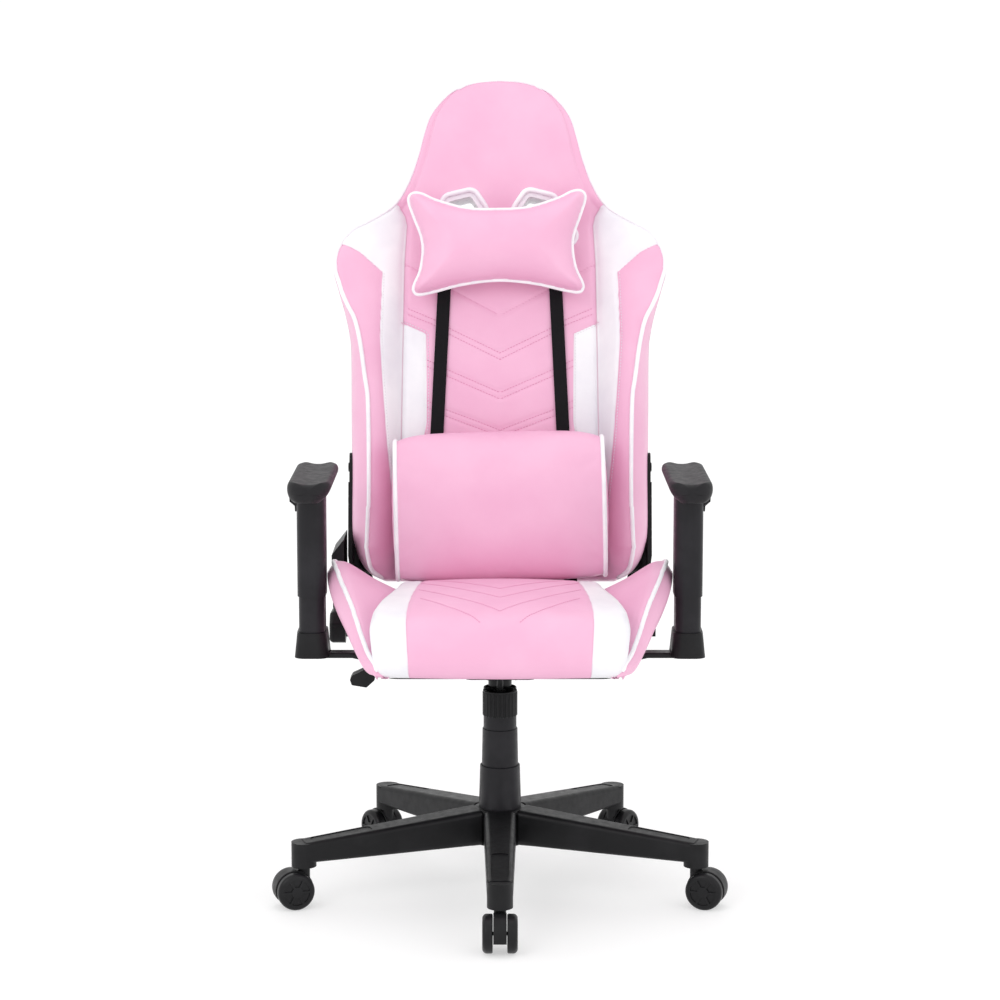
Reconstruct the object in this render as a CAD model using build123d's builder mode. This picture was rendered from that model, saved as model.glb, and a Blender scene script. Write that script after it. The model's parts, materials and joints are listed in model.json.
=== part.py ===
from build123d import *

import os
from math import cos, radians, sin, tan

# Racing-style gaming chair on a five-leg caster base, with gas lift, butterfly tilt mechanism,
# reclining bucket back, height-adjustable armrests and two loose pillows.
# Millimetres. Origin on the floor under the gas lift. +X is the sitter's left, -Y is the front.

os.makedirs("parts", exist_ok=True)

# ---- driving dimensions ----
LEG_COUNT = 5
FIRST_LEG_ANGLE = -90
STEM_RADIUS = 330
LEG_END_R = 20
HUB_R = 43
HUB_TOP = 138
HUB_BOTTOM = 80
BOSS_BOTTOM = 66

WHEEL_R = 30
WHEEL_W = 16
WHEEL_GAP = 22
CASTER_TRAIL = 18
STEM_R = 5.5
AXLE_R = 3

TUBE_R = 25
CYLINDER_R = 14
ROD_R = 5
PAN_BOTTOM = 368
PAN_WALL = 2.5
TILT_Y = -45
TILT_Z = 380
TILT_MAX = 10
TENSION_Y = -70
LEVER_X = -36
LEVER_Z = 378

PLATE_TOP = 398
BOARD_TOP = 412
SEAT_SKIRT = 405

ARM_X = 300
ARM_Y = -45
SLEEVE_W = 45
SLEEVE_D = 70
TUBE_W = 41
TUBE_D = 66
TUBE_WALL_W = 4

RECLINE_Y = 195
RECLINE_Z = 460
BACK_TILT = 12
BACK_Y = 175
BACK_Z = 465

RUN = 0.05
SIDES = {"left": 1, "right": -1}


def save(piece, name):
    piece.label = name
    export_step(piece, "parts/" + name + ".step")


def up_x(x):
    """Sketch plane across X: sketch x is model Y, sketch y is model Z."""
    return Plane(origin=(x, 0, 0), x_dir=(0, 1, 0), z_dir=(1, 0, 0))


def up_y(y):
    """Sketch plane across Y: sketch x is model X, sketch y is model Z."""
    return Plane(origin=(0, y, 0), x_dir=(1, 0, 0), z_dir=(0, -1, 0))


# The back's own plane leans back: sketch x is model X, sketch y runs up the back,
# and the plane's normal points forward out of the backrest.
BACK_UP = Vector(0, sin(radians(BACK_TILT)), cos(radians(BACK_TILT)))
BACK_OUT = Vector(0, -cos(radians(BACK_TILT)), sin(radians(BACK_TILT)))
BACK_FOOT = Vector(0, BACK_Y, BACK_Z)


def back_plane(out=0):
    return Plane(origin=BACK_FOOT + BACK_OUT * out, x_dir=(1, 0, 0), z_dir=BACK_OUT)


def both_sides(piece):
    with BuildPart() as pair:
        add(piece)
        mirror(about=Plane.YZ)
    return pair.part


# ---- five-leg base ----
LEG_ROOT_R = 36
LEG_DROP = 31


def leg_top(r):
    return HUB_TOP - LEG_DROP * (r - HUB_R) / (STEM_RADIUS - HUB_R)


def leg_bottom(r):
    return 80 - 6 * (r - HUB_R) / (STEM_RADIUS - HUB_R)


def leg_width(r):
    return 52 - 12 * (r - HUB_R) / (STEM_RADIUS - HUB_R)


def leg_section(r, wall, top_wall, corner):
    """Cross-section of a leg at radius r, with the given walls taken off it."""
    low = leg_bottom(r) - (1 if wall else 0)
    high = leg_top(r) - top_wall
    with BuildSketch(up_x(r)) as section:
        with Locations((0, (low + high) / 2)):
            Rectangle(leg_width(r) - 2 * wall, high - low)
        fillet(section.vertices().group_by(Axis.Z)[-1], corner)
    return section.sketch


LEG_BAYS = [54, 112, 166, 216, 262, 304]
LEG_RIB = 3
SOCKET_TOP = 100
PATCH_R = 268
LEG_SLOPE = LEG_DROP / (STEM_RADIUS - HUB_R)

with BuildPart() as leg:
    loft(sections=[leg_section(LEG_ROOT_R, 0, 0, 9), leg_section(STEM_RADIUS, 0, 0, 7)])
    with BuildSketch(Plane.XY.offset(BOSS_BOTTOM)) as end_round:
        with Locations((STEM_RADIUS, 0)):
            Circle(LEG_END_R)
    extrude(amount=leg_top(STEM_RADIUS) - BOSS_BOTTOM - 1)
    fillet(leg.edges().filter_by(GeomType.CIRCLE).group_by(Axis.Z)[-1], 4)
    for start, stop in zip(LEG_BAYS[:-1], LEG_BAYS[1:]):
        bay_ends = [leg_section(start, 3.5, 5, 5), leg_section(stop - LEG_RIB, 3.5, 5, 5)]
        loft(sections=bay_ends, mode=Mode.SUBTRACT)
    with BuildSketch(Plane.XY.offset(BOSS_BOTTOM - 1)) as end_pocket:
        with Locations((STEM_RADIUS, 0)):
            Circle(LEG_END_R - 3.5)
            Circle(STEM_R + 4.5, mode=Mode.SUBTRACT)
    extrude(amount=34, mode=Mode.SUBTRACT)
    with BuildSketch(Plane.XY.offset(BOSS_BOTTOM - 1)) as socket:
        with Locations((STEM_RADIUS, 0)):
            Circle(STEM_R)
    extrude(amount=SOCKET_TOP - BOSS_BOTTOM + 1, mode=Mode.SUBTRACT)
    slope_x = Vector(1, 0, -LEG_SLOPE).normalized()
    slope_z = Vector(LEG_SLOPE, 0, 1).normalized()
    patch_at = Vector(PATCH_R, 0, leg_top(PATCH_R))
    with BuildSketch(Plane(origin=patch_at, x_dir=slope_x, z_dir=slope_z)) as foot_patch:
        RectangleRounded(100, 27, 8)
    extrude(amount=-1.2, mode=Mode.SUBTRACT)

with BuildPart() as star_base:
    with BuildSketch(Plane.XY.offset(HUB_BOTTOM)) as hub:
        Circle(HUB_R)
    extrude(amount=HUB_TOP - HUB_BOTTOM)
    fillet(star_base.edges().group_by(Axis.Z)[-1], 5)
    with PolarLocations(0, LEG_COUNT, start_angle=FIRST_LEG_ANGLE):
        add(leg.part)
    with BuildSketch(Plane.XY.offset(HUB_BOTTOM - 30)) as hub_bore:
        Circle(TUBE_R)
    extrude(amount=HUB_TOP - HUB_BOTTOM + 60, mode=Mode.SUBTRACT)

# ---- gas lift: outer tube and its bush, rod, pressure cylinder, telescopic covers ----
TUBE_BOTTOM = 72
TUBE_TOP = 232
TUBE_WALL = 1.5
CYLINDER_BOTTOM = 150
CYLINDER_TOP = 368
ROD_TOP = 275

with BuildPart() as lift_outer_tube:
    with BuildSketch(Plane.XY.offset(TUBE_BOTTOM)) as tube_ring:
        Circle(TUBE_R)
        Circle(ROD_R + RUN, mode=Mode.SUBTRACT)
    extrude(amount=TUBE_TOP - TUBE_BOTTOM)
    with BuildSketch(Plane.XY.offset(TUBE_BOTTOM + 2)) as tube_inside:
        Circle(TUBE_R - TUBE_WALL)
    extrude(amount=TUBE_TOP - TUBE_BOTTOM, mode=Mode.SUBTRACT)

with BuildPart() as lift_guide_bush:
    with BuildSketch(Plane.XY.offset(184)) as bush_ring:
        Circle(TUBE_R - TUBE_WALL)
        Circle(CYLINDER_R + RUN, mode=Mode.SUBTRACT)
    extrude(amount=TUBE_TOP + 3 - 184)

with BuildPart() as thrust_bearing:
    with BuildSketch(Plane.XY.offset(TUBE_BOTTOM + 2)) as race:
        Circle(16)
        Circle(ROD_R + RUN, mode=Mode.SUBTRACT)
    extrude(amount=6)
    with BuildSketch(Plane.XY.offset(TUBE_BOTTOM + 4)) as race_groove:
        Circle(17)
        Circle(14, mode=Mode.SUBTRACT)
    extrude(amount=2, mode=Mode.SUBTRACT)

with BuildPart() as piston_rod:
    with BuildSketch(Plane.XY.offset(66)) as rod_round:
        Circle(ROD_R)
    extrude(amount=ROD_TOP - 66)
    with BuildSketch(Plane.XY.offset(67)) as clip_round:
        Circle(9)
    extrude(amount=2.5)
    with BuildSketch(Plane.XY.offset(ROD_TOP - 14)) as piston_round:
        Circle(CYLINDER_R - 2.5 - RUN)
    extrude(amount=14)
    with BuildSketch(Plane.XY.offset(TUBE_BOTTOM + 8.2)) as shoulder_round:
        Circle(9)
    extrude(amount=4)

with BuildPart() as lift_cylinder:
    with BuildSketch(Plane.XY.offset(CYLINDER_BOTTOM)) as cylinder_round:
        Circle(CYLINDER_R)
        Circle(ROD_R + RUN, mode=Mode.SUBTRACT)
    extrude(amount=CYLINDER_TOP - CYLINDER_BOTTOM)
    with BuildSketch(Plane.XY.offset(CYLINDER_BOTTOM + 8)) as cylinder_bore:
        Circle(CYLINDER_R - 2.5)
    extrude(amount=CYLINDER_TOP - CYLINDER_BOTTOM - 36, mode=Mode.SUBTRACT)

VALVE_R = 3.5
with BuildPart() as valve_pin:
    with BuildSketch(Plane.XY.offset(CYLINDER_TOP - 20)) as valve_stem:
        Circle(ROD_R - 0.5)
    extrude(amount=20)
    with BuildSketch(Plane.XY.offset(CYLINDER_TOP)) as valve_button:
        Circle(VALVE_R)
    extrude(amount=5.2)
    chamfer(valve_pin.edges().group_by(Axis.Z)[-1], 0.6)


def cover_sleeve(bottom, top, low_r, high_r, bore_r):
    """One tapered sleeve of the telescopic cover."""
    with BuildPart() as sleeve:
        with BuildSketch(Plane.XZ) as sleeve_profile:
            with BuildLine():
                Polyline((bore_r, bottom), (low_r, bottom), (high_r, top), (bore_r, top), close=True)
            make_face()
        revolve(axis=Axis.Z)
        fillet(sleeve.edges().group_by(Axis.Z)[-1].sort_by(SortBy.RADIUS)[-1], 1)
    return sleeve.part


cover_lower = cover_sleeve(HUB_TOP, 208, 34.5, 32.5, 30.6)
cover_middle = cover_sleeve(180, 269, 30.2, 28.5, 27.1)
cover_upper = cover_sleeve(240, 337, 26.8, 26.8, 25.4)

# ---- casters, each turned to trail outward from its leg ----
HOOD_R = 31.5
LEG_ANGLES = [FIRST_LEG_ANGLE + 360 / LEG_COUNT * n for n in range(LEG_COUNT)]

with BuildPart() as fork_blank:
    with BuildSketch(Plane.XZ) as hood_side:
        with Locations((CASTER_TRAIL, WHEEL_R)):
            Circle(HOOD_R)
        with Locations((CASTER_TRAIL, -8)):
            Rectangle(90, 60, mode=Mode.SUBTRACT)
        with Locations((CASTER_TRAIL, WHEEL_R)):
            Circle(10)
    extrude(amount=WHEEL_GAP / 2 - 0.8, both=True)
    fillet(fork_blank.edges().filter_by(GeomType.CIRCLE).sort_by(SortBy.LENGTH)[-2:], 1.5)
    with BuildSketch(Plane.XY.offset(30)) as barrel:
        Circle(9.5)
    extrude(amount=34.5)
    with BuildSketch(Plane.XY.offset(29)) as stem_bore:
        Circle(STEM_R + RUN)
    extrude(amount=40, mode=Mode.SUBTRACT)
    with BuildSketch(Plane.XZ) as axle_bore:
        with Locations((CASTER_TRAIL, WHEEL_R)):
            Circle(AXLE_R + RUN)
    extrude(amount=WHEEL_GAP, both=True, mode=Mode.SUBTRACT)

with BuildPart() as wheel_blank:
    with BuildSketch(Plane.XZ) as tyre_round:
        with Locations((CASTER_TRAIL, WHEEL_R)):
            Circle(WHEEL_R)
    extrude(amount=WHEEL_W / 2, both=True)
    fillet(wheel_blank.edges().group_by(Axis.Y)[-1], 7)
    fillet(wheel_blank.edges().group_by(Axis.Y)[0], 2.5)
    with BuildSketch(Plane.XZ.offset(-WHEEL_W / 2)) as dish:
        with Locations((CASTER_TRAIL, WHEEL_R)):
            Circle(21)
            Circle(9, mode=Mode.SUBTRACT)
            with PolarLocations(15, 6):
                Rectangle(16, 3.2, mode=Mode.SUBTRACT)
    extrude(amount=2, mode=Mode.SUBTRACT)
    with BuildSketch(Plane.XZ) as wheel_bore:
        with Locations((CASTER_TRAIL, WHEEL_R)):
            Circle(AXLE_R)
    extrude(amount=WHEEL_W / 2 - 2, both=True, mode=Mode.SUBTRACT)

WHEEL_Y = WHEEL_GAP / 2 + WHEEL_W / 2
with BuildPart() as axle_blank:
    with BuildSketch(Plane.XZ) as axle_round:
        with Locations((CASTER_TRAIL, WHEEL_R)):
            Circle(AXLE_R)
    extrude(amount=WHEEL_Y + WHEEL_W / 2 - 2, both=True)

wheelset_wheels = [
    wheel_blank.part.moved(Location((0, WHEEL_Y, 0))),
    mirror(wheel_blank.part.moved(Location((0, WHEEL_Y, 0))), about=Plane.XZ),
]

with BuildPart() as stems:
    with BuildSketch(Plane.XY.offset(36)) as stem_rounds:
        with PolarLocations(STEM_RADIUS, LEG_COUNT, start_angle=FIRST_LEG_ANGLE):
            Circle(STEM_R)
    extrude(amount=SOCKET_TOP - 36)
caster_stems = stems.part

# ---- tilt mechanism on top of the gas lift ----
PAN_X = 56
PAN_FRONT = -95
PAN_REAR = 60
PAN_WALL_TOP = 388
SLOPE = tan(radians(TILT_MAX))


def plate_underside(y):
    """Height of the top plate's underside at y when the seat is tilted fully back."""
    return PLATE_TOP - 3 + (TILT_Y - y) * SLOPE


with BuildPart() as mech_pan:
    with BuildSketch(Plane.XY.offset(PAN_BOTTOM)) as pan_outline:
        with Locations((0, (PAN_FRONT + PAN_REAR) / 2)):
            RectangleRounded(2 * PAN_X, PAN_REAR - PAN_FRONT, 12)
    extrude(amount=PAN_WALL_TOP - PAN_BOTTOM)
    with BuildSketch(Plane.XY.offset(PAN_BOTTOM + PAN_WALL)) as pan_inside:
        with Locations((0, (PAN_FRONT + PAN_REAR) / 2)):
            RectangleRounded(2 * (PAN_X - PAN_WALL), PAN_REAR - PAN_FRONT - 2 * PAN_WALL, 9.5)
    extrude(amount=40, mode=Mode.SUBTRACT)
    with BuildSketch(Plane.YZ) as wall_slope:
        with BuildLine():
            Polyline(
                (TILT_Y + 14, PAN_WALL_TOP),
                (PAN_REAR + 5, plate_underside(PAN_REAR + 5) - 3),
                (PAN_REAR + 5, PAN_WALL_TOP + 5),
                (TILT_Y + 14, PAN_WALL_TOP + 5),
                close=True,
            )
        make_face()
    extrude(amount=100, both=True, mode=Mode.SUBTRACT)
    with BuildSketch(Plane.XY.offset(340)) as lift_socket:
        Circle(CYLINDER_R + 5)
    extrude(amount=CYLINDER_TOP - 340)
    with BuildSketch(Plane.XY.offset(335)) as lift_socket_bore:
        Circle(CYLINDER_R)
    extrude(amount=40, mode=Mode.SUBTRACT)
    with BuildSketch(Plane.XY.offset(PAN_BOTTOM - 1)) as bolt_hole:
        with Locations((0, TENSION_Y)):
            Circle(5.6)
    extrude(amount=10, mode=Mode.SUBTRACT)
    with BuildSketch(Plane.YZ) as axle_holes:
        with Locations((TILT_Y, TILT_Z)):
            Circle(5)
    extrude(amount=100, both=True, mode=Mode.SUBTRACT)
    with BuildSketch(up_x(-PAN_X - 5)) as lever_slot:
        with Locations((0, LEVER_Z + 2)):
            Rectangle(13, 20)
    extrude(amount=12, mode=Mode.SUBTRACT)

with BuildPart() as tilt_axle:
    with BuildSketch(Plane.YZ) as tilt_axle_round:
        with Locations((TILT_Y, TILT_Z)):
            Circle(5)
    extrude(amount=63, both=True)
    for end in (60.5, -63):
        with BuildSketch(up_x(end)) as axle_head:
            with Locations((TILT_Y, TILT_Z)):
                Circle(7)
        extrude(amount=2.5)

# The tension bolt hangs from the top plate; its knob squeezes the spring against the pan.
KNOB_BOTTOM = 306
KNOB_TOP = 347
KNOB_R = 28
BOLT_HEAD_Z = 400.2

with BuildPart() as tension_bolt:
    with BuildSketch(Plane.XY.offset(KNOB_BOTTOM + 4)) as bolt_shank:
        with Locations((0, TENSION_Y)):
            Circle(5)
    extrude(amount=BOLT_HEAD_Z - KNOB_BOTTOM - 4)
    with BuildSketch(Plane.XY.offset(BOLT_HEAD_Z)) as bolt_head:
        with Locations((0, TENSION_Y)):
            RegularPolygon(9.5, 6)
    extrude(amount=5)

with BuildPart() as tension_knob:
    with BuildSketch(Plane.XY.offset(KNOB_BOTTOM)) as knob_round:
        with Locations((0, TENSION_Y)):
            Circle(KNOB_R)
            with PolarLocations(KNOB_R + 0.6, 24):
                Circle(1.9, mode=Mode.SUBTRACT)
    extrude(amount=KNOB_TOP - KNOB_BOTTOM - 3)
    chamfer(tension_knob.edges().group_by(Axis.Z)[0], 1.2)
    with BuildSketch(Plane.XY.offset(KNOB_TOP - 3)) as knob_rim:
        with Locations((0, TENSION_Y)):
            Circle(KNOB_R - 0.8)
    extrude(amount=3)
    with BuildSketch(Plane.XY.offset(KNOB_BOTTOM + 3)) as knob_bore:
        with Locations((0, TENSION_Y)):
            Circle(5 + RUN)
    extrude(amount=60, mode=Mode.SUBTRACT)
    with BuildSketch(Plane.XY.offset(KNOB_TOP - 12)) as knob_pocket:
        with Locations((0, TENSION_Y)):
            Circle(22)
            Circle(9, mode=Mode.SUBTRACT)
    extrude(amount=20, mode=Mode.SUBTRACT)

SPRING_WIRE = 3
SPRING_R = 25.4
SPRING_TURNS = 3.1
SPRING_LOW = KNOB_TOP + SPRING_WIRE / 2 + 0.1
SPRING_HIGH = PAN_BOTTOM - SPRING_WIRE / 2 - 0.1
with BuildPart() as tension_spring:
    with BuildLine(Plane.XY.offset(SPRING_LOW)) as spring_path:
        with Locations((0, TENSION_Y)):
            Helix(
                pitch=(SPRING_HIGH - SPRING_LOW) / SPRING_TURNS,
                height=SPRING_HIGH - SPRING_LOW,
                radius=SPRING_R,
            )
    with BuildSketch(Plane(spring_path.line @ 0, z_dir=spring_path.line % 0)) as spring_wire:
        Circle(SPRING_WIRE / 2)
    sweep(is_frenet=True)

# Height lever: the rod presses the valve pin, and slides in its bracket to lock the tilt.
LOCK_FLOOR = PAN_BOTTOM + PAN_WALL + 0.2
with BuildPart() as tilt_lock_bracket:
    with BuildSketch(Plane.XY.offset(LOCK_FLOOR)) as lock_foot:
        with Locations((-41, -14)):
            Rectangle(21, 52)
    extrude(amount=1.5)
    for low_y in (-11.5, 8):
        with BuildSketch(Plane.XZ.offset(-low_y)) as lock_ear:
            with Locations((LEVER_X, (LOCK_FLOOR + LEVER_Z + 3) / 2)):
                Rectangle(11, LEVER_Z + 3 - LOCK_FLOOR)
        extrude(amount=-3.5)
    with BuildSketch(Plane.XZ) as lever_pin:
        with Locations((LEVER_X, LEVER_Z)):
            Circle(1.5)
    extrude(amount=11, both=True)

LEVER_ROD_R = 4
PADDLE_Z = 356
with BuildPart() as lever_rod:
    with BuildLine() as rod_path:
        FilletPolyline(
            (4, 0, LEVER_Z), (-72, 0, LEVER_Z), (-118, 0, PADDLE_Z), (-216, 0, PADDLE_Z), radius=24
        )
    with BuildSketch(Plane(rod_path.line @ 0, z_dir=rod_path.line % 0)) as rod_section:
        Circle(LEVER_ROD_R)
    sweep()
    with BuildSketch(Plane.XZ) as rod_pin_bore:
        with Locations((LEVER_X, LEVER_Z)):
            Circle(1.5 + RUN)
    extrude(amount=20, both=True, mode=Mode.SUBTRACT)

with BuildPart() as lever_paddle:
    with BuildSketch(Plane.XZ) as paddle_face:
        with BuildLine():
            Polyline((-243, 351), (-239, 358), (-217, 368), (-201, 364), (-203, 350), (-216, 338), (-240, 342), close=True)
        make_face()
        fillet(paddle_face.vertices(), 3)
        with Locations((-236, 338.5), (-228, 337.5), (-220, 336)):
            Circle(2.6, mode=Mode.SUBTRACT)
    extrude(amount=14, both=True)
    with BuildSketch(up_x(-216)) as paddle_bore:
        with Locations((0, PADDLE_Z)):
            Circle(LEVER_ROD_R)
    extrude(amount=30, mode=Mode.SUBTRACT)

# ---- seat: steel plate, board, foam and side bolsters ----
FLANGE_X = 57
BOLT_SPOTS = [(-80, -110), (80, -110), (-80, 66), (80, 66)]

with BuildPart() as mech_top_plate:
    with BuildSketch(Plane.XY.offset(PLATE_TOP - 3)) as plate_outline:
        with Locations((0, -22)):
            RectangleRounded(190, 206, 14)
        with Locations((0, TENSION_Y)):
            SlotOverall(20, 11.5, rotation=90, mode=Mode.SUBTRACT)
        with Locations(*BOLT_SPOTS):
            Circle(4, mode=Mode.SUBTRACT)
    extrude(amount=3)
    with BuildSketch(up_x(FLANGE_X)) as flange_side:
        with BuildLine():
            Polyline((-78, 395), (-62, 372), (-28, 372), (-12, 395), close=True)
        make_face()
        with Locations((TILT_Y, TILT_Z)):
            Circle(5 + RUN, mode=Mode.SUBTRACT)
    extrude(amount=3)
    with BuildSketch(up_x(-FLANGE_X - 3)) as flange_side_right:
        with BuildLine():
            Polyline((-78, 395), (-62, 372), (-28, 372), (-12, 395), close=True)
        make_face()
        with Locations((TILT_Y, TILT_Z)):
            Circle(5 + RUN, mode=Mode.SUBTRACT)
    extrude(amount=3)

with BuildPart() as mech_bolts:
    with BuildSketch(Plane.XY.offset(PLATE_TOP - 3)) as bolt_shanks:
        with Locations(*BOLT_SPOTS):
            Circle(4)
    extrude(amount=14)
    with BuildSketch(Plane.XY.offset(PLATE_TOP - 8.5)) as bolt_heads:
        with Locations(*BOLT_SPOTS):
            RegularPolygon(6.5, 6)
    extrude(amount=5.5)

BRACKET_BOLTS = [(126, ARM_Y), (164, ARM_Y)]
BRACKET_H = 9
BRACKET_D = 30

BOARD_W = 368
BOARD_L = 410
BOARD_Y = -23

with BuildPart() as seat_board:
    with BuildSketch(Plane.XY.offset(PLATE_TOP)) as board_outline:
        with Locations((0, BOARD_Y)):
            RectangleRounded(BOARD_W, BOARD_L, 30)
        with Locations((0, TENSION_Y)):
            Circle(17, mode=Mode.SUBTRACT)
        with Locations(*BOLT_SPOTS):
            Circle(4, mode=Mode.SUBTRACT)
        with Locations(*BRACKET_BOLTS):
            Circle(3, mode=Mode.SUBTRACT)
        with Locations(*[(-x, y) for x, y in BRACKET_BOLTS]):
            Circle(3, mode=Mode.SUBTRACT)
    extrude(amount=BOARD_TOP - PLATE_TOP)

SEAT_HALF = 196
with BuildPart() as seat_cushion:
    with BuildSketch(Plane.YZ) as seat_side:
        with BuildLine():
            front = Spline((-268, SEAT_SKIRT), (-298, 440), (-288, 486), (-235, 505), tangents=((-1, 0.3), (1, 0.2)))
            top = Spline(front @ 1, (-60, 511), (80, 495), (182, 452), tangents=((1, 0.1), (0.6, -1)))
            Polyline(top @ 1, (190, SEAT_SKIRT), front @ 0)
        make_face()
    extrude(amount=SEAT_HALF, both=True)
    with BuildSketch(Plane.XY.offset(SEAT_SKIRT - 1)) as board_pocket:
        with Locations((0, BOARD_Y)):
            RectangleRounded(BOARD_W, BOARD_L, 30)
    extrude(amount=BOARD_TOP - SEAT_SKIRT + 1, mode=Mode.SUBTRACT)

# Each bolster station: y, crest x, crest z, height where it meets the centre pad.
BOLSTER_STATIONS = [
    (-282, 206, 428, 424),
    (-200, 217, 466, 448),
    (-100, 248, 522, 480),
    (-30, 265, 549, 490),
    (55, 263, 548, 488),
    (112, 244, 505, 470),
]


def bolster_section(y, crest_x, crest_z, inner_z):
    reach = crest_x - SEAT_HALF
    rise = crest_z - 414
    with BuildSketch(up_y(y)) as section:
        with BuildLine():
            Polyline(
                (SEAT_HALF, 414),
                (SEAT_HALF + 0.4 * reach, 414 + 0.1 * rise),
                (SEAT_HALF + 0.85 * reach, 414 + 0.42 * rise),
                (crest_x + 3, 414 + 0.75 * rise),
                (crest_x, crest_z),
                (SEAT_HALF + 0.7 * reach, crest_z + 2),
                (SEAT_HALF, inner_z),
                close=True,
            )
        make_face()
    return section.sketch


with BuildPart() as seat_bolster_left:
    loft(sections=[bolster_section(*station) for station in BOLSTER_STATIONS], ruled=True)

with BuildPart() as seat_bolster_right:
    add(seat_bolster_left.part)
    mirror(about=Plane.YZ, mode=Mode.REPLACE)

# ---- armrests ----
BRACKET_Z = PLATE_TOP - BRACKET_H / 2
BRACKET_RISE = 6.5
UPRIGHT_X = ARM_X + TUBE_W / 2 - TUBE_WALL_W - BRACKET_H / 2
with BuildPart() as bracket_left:
    with BuildLine() as bracket_path:
        FilletPolyline(
            (108, ARM_Y, BRACKET_Z),
            (208, ARM_Y, BRACKET_Z),
            (236, ARM_Y, BRACKET_Z + BRACKET_RISE),
            (UPRIGHT_X, ARM_Y, BRACKET_Z + BRACKET_RISE),
            (UPRIGHT_X, ARM_Y, 476),
            radius=18,
        )
    with BuildSketch(Plane(bracket_path.line @ 0, x_dir=(0, 1, 0), z_dir=bracket_path.line % 0)) as bracket_oval:
        RectangleRounded(BRACKET_D, BRACKET_H, 4)
        RectangleRounded(BRACKET_D - 4, BRACKET_H - 4, 2, mode=Mode.SUBTRACT)
    sweep()
    with BuildSketch(Plane.XY.offset(PLATE_TOP - 30)) as bracket_holes:
        with Locations(*BRACKET_BOLTS):
            Circle(3)
    extrude(amount=60, mode=Mode.SUBTRACT)
armrest_brackets = both_sides(bracket_left.part)

with BuildPart() as bracket_bolts_left:
    with BuildSketch(Plane.XY.offset(PLATE_TOP - BRACKET_H)) as bracket_shanks:
        with Locations(*BRACKET_BOLTS):
            Circle(3)
    extrude(amount=BRACKET_H + 11)
    with BuildSketch(Plane.XY.offset(PLATE_TOP - BRACKET_H - 4)) as bracket_heads:
        with Locations(*BRACKET_BOLTS):
            RegularPolygon(5.2, 6)
    extrude(amount=4)
armrest_bolts = both_sides(bracket_bolts_left.part)

TUBE_FOOT = 407
TUBE_HEAD = 600
with BuildPart() as arm_tube_left:
    with BuildSketch(Plane.XY.offset(TUBE_FOOT)) as arm_tube_outline:
        with Locations((ARM_X, ARM_Y)):
            RectangleRounded(TUBE_W, TUBE_D, 15)
    extrude(amount=TUBE_HEAD - TUBE_FOOT)
    with BuildSketch(Plane.XY.offset(TUBE_FOOT - 1)) as arm_tube_inside:
        with Locations((ARM_X, ARM_Y)):
            RectangleRounded(TUBE_W - 2 * TUBE_WALL_W, TUBE_D - 2 * TUBE_WALL_W, 11)
    extrude(amount=TUBE_HEAD - TUBE_FOOT + 2, mode=Mode.SUBTRACT)
armrest_tubes = both_sides(arm_tube_left.part)

COLLAR_LOW = 400
COLLAR_HIGH = 440
with BuildPart() as collar_left:
    with BuildSketch(Plane.XY.offset(COLLAR_LOW)) as collar_foot:
        with Locations((ARM_X, ARM_Y)):
            RectangleRounded(55, 80, 17)
    with BuildSketch(Plane.XY.offset(COLLAR_HIGH)) as collar_mouth:
        with Locations((ARM_X, ARM_Y)):
            RectangleRounded(47, 72, 16)
    loft()
    with BuildSketch(Plane.XY.offset(TUBE_FOOT)) as collar_bore:
        with Locations((ARM_X, ARM_Y)):
            RectangleRounded(TUBE_W, TUBE_D, 15)
    extrude(amount=60, mode=Mode.SUBTRACT)
    with BuildSketch(Plane.XY.offset(COLLAR_LOW - 1)) as collar_pocket:
        with Locations((ARM_X - 10, ARM_Y)):
            Rectangle(56, BRACKET_D + 1)
    extrude(amount=TUBE_FOOT - COLLAR_LOW + 1.5, mode=Mode.SUBTRACT)
armrest_collars = both_sides(collar_left.part)

SLEEVE_LOW = 498
SLEEVE_HIGH = 660
TRIGGER_X = 328
TRIGGER_Z = 652
PAD_LOW = 660
PAD_TOP = 695


def arm_sleeve():
    """Sliding sleeve with ears and a pin for the height trigger."""
    with BuildPart() as sleeve:
        with BuildSketch(Plane.XY.offset(SLEEVE_LOW)) as sleeve_outline:
            with Locations((ARM_X, ARM_Y)):
                RectangleRounded(SLEEVE_W, SLEEVE_D, 17)
        extrude(amount=SLEEVE_HIGH - SLEEVE_LOW)
        with BuildSketch(Plane.XY.offset(SLEEVE_LOW - 1)) as sleeve_inside:
            with Locations((ARM_X, ARM_Y)):
                RectangleRounded(TUBE_W + 0.6, TUBE_D + 0.6, 15.3)
        extrude(amount=SLEEVE_HIGH - SLEEVE_LOW - 6, mode=Mode.SUBTRACT)
        for ear_y in (ARM_Y - 16, ARM_Y + 12):
            with BuildSketch(Plane.XZ.offset(-ear_y)) as ear:
                with BuildLine():
                    Polyline((321.8, 639), (TRIGGER_X + 4, 648), (TRIGGER_X + 4, 656), (321.8, 660), close=True)
                make_face()
            extrude(amount=-4)
        with BuildSketch(Plane.XZ.offset(-(ARM_Y - 14))) as ear_pin:
            with Locations((TRIGGER_X, TRIGGER_Z)):
                Circle(1.5)
        extrude(amount=-28)
    return sleeve.part


def arm_trigger():
    """Thumb trigger under the pad's outer edge, pivoting on the sleeve's pin."""
    with BuildPart() as trigger:
        with BuildSketch(Plane.XZ.offset(-(ARM_Y - 11.5))) as trigger_side:
            with BuildLine():
                Polyline(
                    (322.8, 633), (325.5, 633), (326.5, 646), (334, 648), (334.5, 655), (330, 657),
                    (323.5, 657), (322.8, 652), close=True,
                )
            make_face()
            with Locations((TRIGGER_X, TRIGGER_Z)):
                Circle(1.5 + RUN, mode=Mode.SUBTRACT)
        extrude(amount=-23)
    return trigger.part


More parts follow.
